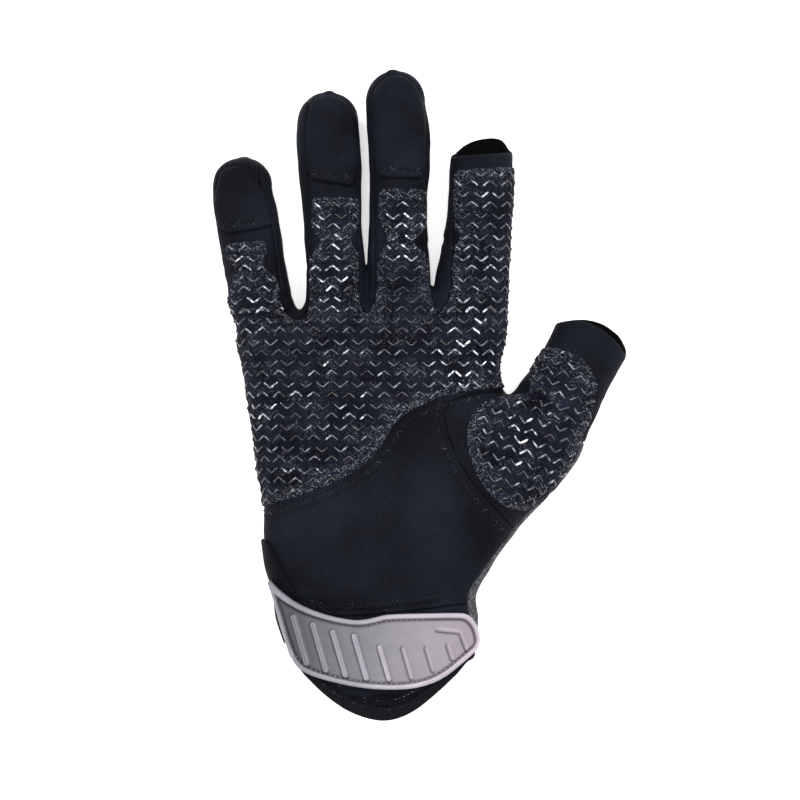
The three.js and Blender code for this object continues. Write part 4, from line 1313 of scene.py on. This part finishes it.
def palm_grip_field(p):
    g = np.minimum(inside(rounded(grip_outline(), True, 1), p[:, :2]), above_seam(p) - GRIP_FROM_SEAM)
    return np.minimum(g, within_rims(p) - GRIP_FROM_RIM)


def thumb_grip_field(p):
    return np.minimum(inside(rounded(THUMB_GRIP_EDGE, True), p[:, :2]), above_seam(p) - GRIP_FROM_SEAM)


def tip_patch_field(name, p):
    edge = inside(beneath(rounded(TIP_PATCHES[name], True, 1), TIP_TOP), p[:, :2])
    return np.minimum(edge, above_seam(p) - PATCH_FROM_SEAM)


def loose_foot(name):
    """How far a fingertip patch stands off at its free lower edge."""
    line = beneath(PATCH_FOOT[name], TIP_TOP)

    def lift(p):
        over = np.maximum(inside(line, p[:, :2], closed=False), 0)
        return PATCH_LIFT * bell(over, 1.5) * ramp(on_finger(name, p), 1.5, 5.0)
    return lift


def build_grips(surface):
    p = surface[0]
    build_layer("palm_grip", surface, palm_grip_field(p), (LAYER_SUNK, GRIP), "grip_fabric")
    build_layer("thumb_grip", surface, thumb_grip_field(p), (LAYER_SUNK, GRIP), "grip_fabric")
    for name in TIP_PATCHES:
        build_layer(f"{name}_tip_patch", surface, tip_patch_field(name, p), (LAYER_SUNK, PATCH),
                    "smooth_neoprene", loose_foot(name), thinned=0.95)


def printed(chart, u_range, v_range, seed, g_of):
    """The zigzag print in a box of a chart's u and v, where g_of is positive."""
    lines, shares = chevron_lines(u_range, v_range, seed)
    return strokes(chart, lines, shares, lambda p: g_of(p) - PRINT_INSET)


def build_print():
    parts = [printed(Chart(glove, *PALM_CHART), *PALM_PRINT, palm_grip_field)]
    for i, (name, top) in enumerate(STRIP_TOPS.items()):
        tube = FINGER_TUBES[name]
        chart = Chart(glove, tube.middle, STRIP["reach"], (STRIP["from"], top + 2))
        middle = float(tube.middle(50.0))

        def near(p, name=name):
            return np.minimum(palm_grip_field(p), on_finger(name, p))
        u_range = [middle + side for side in STRIP["printed"]]
        parts.append(printed(chart, u_range, (STRIP["start"], top), STRIP["seed"] + i, near))
    add_merged("palm_print", parts, "silicone_print")
    parts = [printed(Chart(glove, **THUMB_CHART), *THUMB_PRINT, thumb_grip_field)]
    add_merged("thumb_print", parts, "silicone_print")


def build_fibres():
    """Loose light fibres at the edges of the grip fabric."""
    parts = [strands(rounded(GRIP_LOWER_EDGE[1:], False), **LOWER_FIBRES)]
    for i, strip in enumerate(GRIP_STRIPS):
        kind = {**STRIP_FIBRES, "seed": STRIP_FIBRES["seed"] + i}
        parts.append(strands(rounded(strip[:-1], False, 1), **kind))
    add_merged("palm_grip_fibres", parts, "grip_fibre")
    loop = rounded(THUMB_GRIP_EDGE, True)
    add_merged("thumb_grip_fibres", [strands(np.vstack([loop, loop[:1]]), **THUMB_FIBRES)], "grip_fibre")


def build_strap(surface):
    p = surface[0]
    front = inside(beneath(rounded(BAND_OUTLINE, True, 1), TAB_TOP), p[:, :2])
    back = inside(BAND_BACK, p[:, :2])
    build_layer("strap_band", surface, turned_over(front, back, p), BAND, "strap_fabric")
    build_tab()


def along_tab(u, level, steps):
    """A level that changes along the tab, by so much from start to end of each step."""
    for more, start, end in steps:
        level = level + more * ramp(u, start, end)
    return level


def tab_face(chart, uv, g):
    """How far the tab's face stands over its plain level, and its painted light and shade there from 0 to 1,
    which lighten and darken its colour.
    """
    u = uv[:, 0]
    border = 1 - ramp(g, *TAB_BORDER["inner"])
    groove = bell(g - TAB_GROOVE["at"], TAB_GROOVE["width"])
    height = TAB_BORDER["height"] * border - TAB_BORDER["drop"] * edge_turn(g, TAB_BORDER["round"])
    height = height - TAB_GROOVE["depth"] * groove
    # Painted light and shade: the face lighter towards the right end, the border lighter at the left end and
    # darker towards the right, painted shade in the groove and a painted highlight line on the border.
    light = along_tab(u, *FACE_PAINTED_LIGHT) + along_tab(u, *BORDER_PAINTED_LIGHT) * border
    light = light - TAB_GROOVE["shade"] * groove
    light = light + RIM_PAINTED_HIGHLIGHT["more"] * bell(g - RIM_PAINTED_HIGHLIGHT["at"], RIM_PAINTED_HIGHLIGHT["width"])
    for line, high in RIBS:
        to_left = -inside(chart.flattened(beneath(line, TAB_TOP)), uv, closed=False)
        away, left = np.abs(to_left), to_left > 0
        clear = (high - FAINT_RIB) / RIB["span"]
        broad = RIB["plain"] + RIB["more"] * clear
        form = np.clip(1 - (away / broad) ** 2, 0, 1) ** RIB_FORM["power"]
        height = np.maximum(height, high * form - RIB_FORM["sunk"])
        # Painted highlight at a rib's crest and painted shade at its foot on each side, and a lighter top on
        # a clear rib.
        sides = {}
        for side in ("left", "right"):
            crest, foot = (faint + more * clear for faint, more in RIB_PAINTED_LIGHT[side])
            for level, (at, width) in ((crest, RIB["crest"]), (foot, RIB["foot"])):
                sides[side] = sides.get(side, 0) + level * bell(away - broad - at, width)
        light = light + np.where(left, sides["left"], sides["right"])
        light = light + RIB_PAINTED_LIGHT["top"] * clear * (away < RIB["top"])
    return height, np.clip(light, 0, 1)


def build_tab():
    chart = Chart(hand, -16.0, (-62, 52), (-116, -66), level=TAB[0])
    outline = rounded(chart.flattened(beneath(TAB_OUTLINE, TAB_TOP)), True)
    u, v = (np.arange(*span, TAB_STEP) for span in TAB_SPAN)
    grid = np.stack(np.meshgrid(u, v, indexing="ij"), axis=-1).reshape(-1, 2)
    i, j = np.meshgrid(np.arange(len(u) - 1), np.arange(len(v) - 1), indexing="ij")
    a = (i * len(v) + j).ravel()
    triangles = split_quads(np.stack([a, a + len(v), a + len(v) + 1, a + 1], axis=1))
    g = inside(outline, grid)
    values, triangles = cut(np.column_stack([grid, g]), triangles, g)
    for level in (0.25, 0.7):
        values, triangles = cut(values, triangles, values[:, 2] - level, both=True)
    uv, g = values[:, :2], values[:, 2]
    thick = TAB[1] - TAB[0]
    # The tint is painted light and shade, which strap_rubber multiplies into its colour.
    height, tint = tab_face(chart, uv, g)
    top = chart.place(uv, thick + height, folded=False)
    points, faces = closed_shell(top, chart.place(uv, 0, folded=False), triangles)
    add_piece("strap_tab", points, faces, "strap_rubber", in_cad=True, tint=np.concatenate([tint, tint]))
    build_tab_stitches(chart, outline, thick - TAB_STITCH["sunk"])


def build_tab_stitches(chart, outline, height):
    """Stitches in the groove, along the tab's lower edge and the middle of its upper edge."""
    loop = resampled(np.vstack([outline, outline[:1]]), 0.5)
    inwards = 1 if inside(outline, beside(loop, 1.0)).mean() > 0 else -1
    line = beside(loop, inwards * TAB_STITCH["inset"])
    line = resampled(line[inside(outline, line) > 1.9], TAB_STITCH["pitch"])
    step = np.diff(line, axis=0)
    centre = (line[:-1] + line[1:]) / 2
    start, end = TAB_SEWN["between"]
    sewn = (centre[:, 1] < TAB_SEWN["below"]) | ((centre[:, 0] > start) & (centre[:, 0] < end))
    good = sewn & (np.linalg.norm(step, axis=1) < 3)
    centre, along = centre[good], unit(step[good])
    points = chart.place(centre, height, folded=False)
    direction = unit(chart.place(centre + along * 0.3, height, folded=False) - points)
    normal = unit(chart.place(centre, height + 1.0, folded=False) - points)
    made = stitch_meshes(points, normal, direction, TAB_STITCH["length"], TAB_STITCH["thick"],
                         np.zeros(len(points)))
    add_merged("tab_stitches", [made], "tab_thread")


def build_stitches():
    grip_edge = rounded(GRIP_LOWER_EDGE[1:-1], False)
    thumb_edge = rounded(THUMB_SEAM[1:-3], False)
    wrist = rounded(WRIST_SEAM[1:-1], False)
    hem = rounded(HEM_EDGE[2:-2], False) + (0, HEM_WIDTH)
    feet = [beneath(resampled(line, 1.0)[2:-1], TIP_TOP) for line in PATCH_FOOT.values()]
    sets = {  # each row's line, how far beside it the row runs, and its kind
        "palm_stitches": [(grip_edge, -1.5, DASH), (grip_edge, -3.1, ZIGZAG), (grip_edge, -4.7, DASH)],
        "thumb_stitches": [(thumb_edge, 1.5, DASH), (thumb_edge, 3.1, ZIGZAG), (thumb_edge, 4.7, DASH),
                           (thumb_edge, -1.6, DASH)],
        "wrist_stitches": [(wrist, 1.5, SPECK), (wrist, 3.0, DASH), (wrist, 4.5, SPECK)],
        "hem_stitches": [(hem, -1.0, SPECK), (hem, 1.0, DASH), (hem, 2.2, HEM_SPECK)],
        "tip_stitches": [(line, by, ZIGZAG) for line in feet for by in (1.9, 3.4)],
    }
    for seed, (name, rows) in enumerate(sets.items()):
        lift = PATCH + 0.1 if name == "tip_stitches" else 0.0
        made = [stitch_row(beside(line, by), lift, seed * 10 + i, **kind)
                for i, (line, by, kind) in enumerate(rows)]
        add_merged(name, made, "thread")


# Stage

def add_sky(tree, background):
    """A plain sky, a little darker at the horizon."""
    height = tree.nodes.new("ShaderNodeSeparateXYZ")
    tree.links.new(tree.nodes.new("ShaderNodeTexCoord").outputs["Generated"], height.inputs[0])
    shade = tree.nodes.new("ShaderNodeMapRange")
    shade.inputs["To Min"].default_value = WORLD["horizon"]
    shade.inputs["To Max"].default_value = WORLD["zenith"]
    tree.links.new(height.outputs["Z"], shade.inputs["Value"])
    tree.links.new(shade.outputs["Result"], background.inputs["Color"])


def build_stage():
    mesh = bpy.data.meshes.new("floor")
    corners = [(x * FLOOR_HALF, y * FLOOR_HALF, 0) for x, y in ((-1, -1), (1, -1), (1, 1), (-1, 1))]
    mesh.from_pydata(corners, [], [(0, 1, 2, 3)])
    mesh.materials.append(LOOKS["floor_paint"])
    placed("floor", mesh)
    world = bpy.data.worlds.new("studio")
    bpy.context.scene.world = world
    world.use_nodes = True
    background = world.node_tree.nodes["Background"]
    background.inputs["Strength"].default_value = WORLD["strength"]
    add_sky(world.node_tree, background)
    for i, (place, size, watts) in enumerate(LIGHTS):
        light = bpy.data.lights.new(f"softbox_{i}", "AREA")
        light.shape, light.size, light.energy = "DISK", size, watts
        lamp = placed(f"softbox_{i}", light)
        lamp.location = place
        lamp.rotation_mode = "QUATERNION"
        lamp.rotation_quaternion = Vector(np.array(place) - LIGHT_AIM).to_track_quat("Z", "Y")


def build_camera():
    camera = bpy.data.cameras.new("camera")
    camera.lens, camera.sensor_width = CAMERA["lens"], CAMERA["sensor"]
    camera.clip_start, camera.clip_end = 0.05, 20
    eye = placed("camera", camera)
    eye.location = (CAMERA["aim"][0] * MM, CAMERA["aim"][1] * MM, (CAMERA["height"] + CAMERA_AWAY) * MM)
    bpy.context.scene.camera = eye
    bpy.context.scene.view_settings.view_transform = "Standard"


surface = glove_surface()
build_body(surface)
build_grips(surface)
build_print()
build_fibres()
build_strap(surface)
build_stitches()
build_stage()
build_camera()
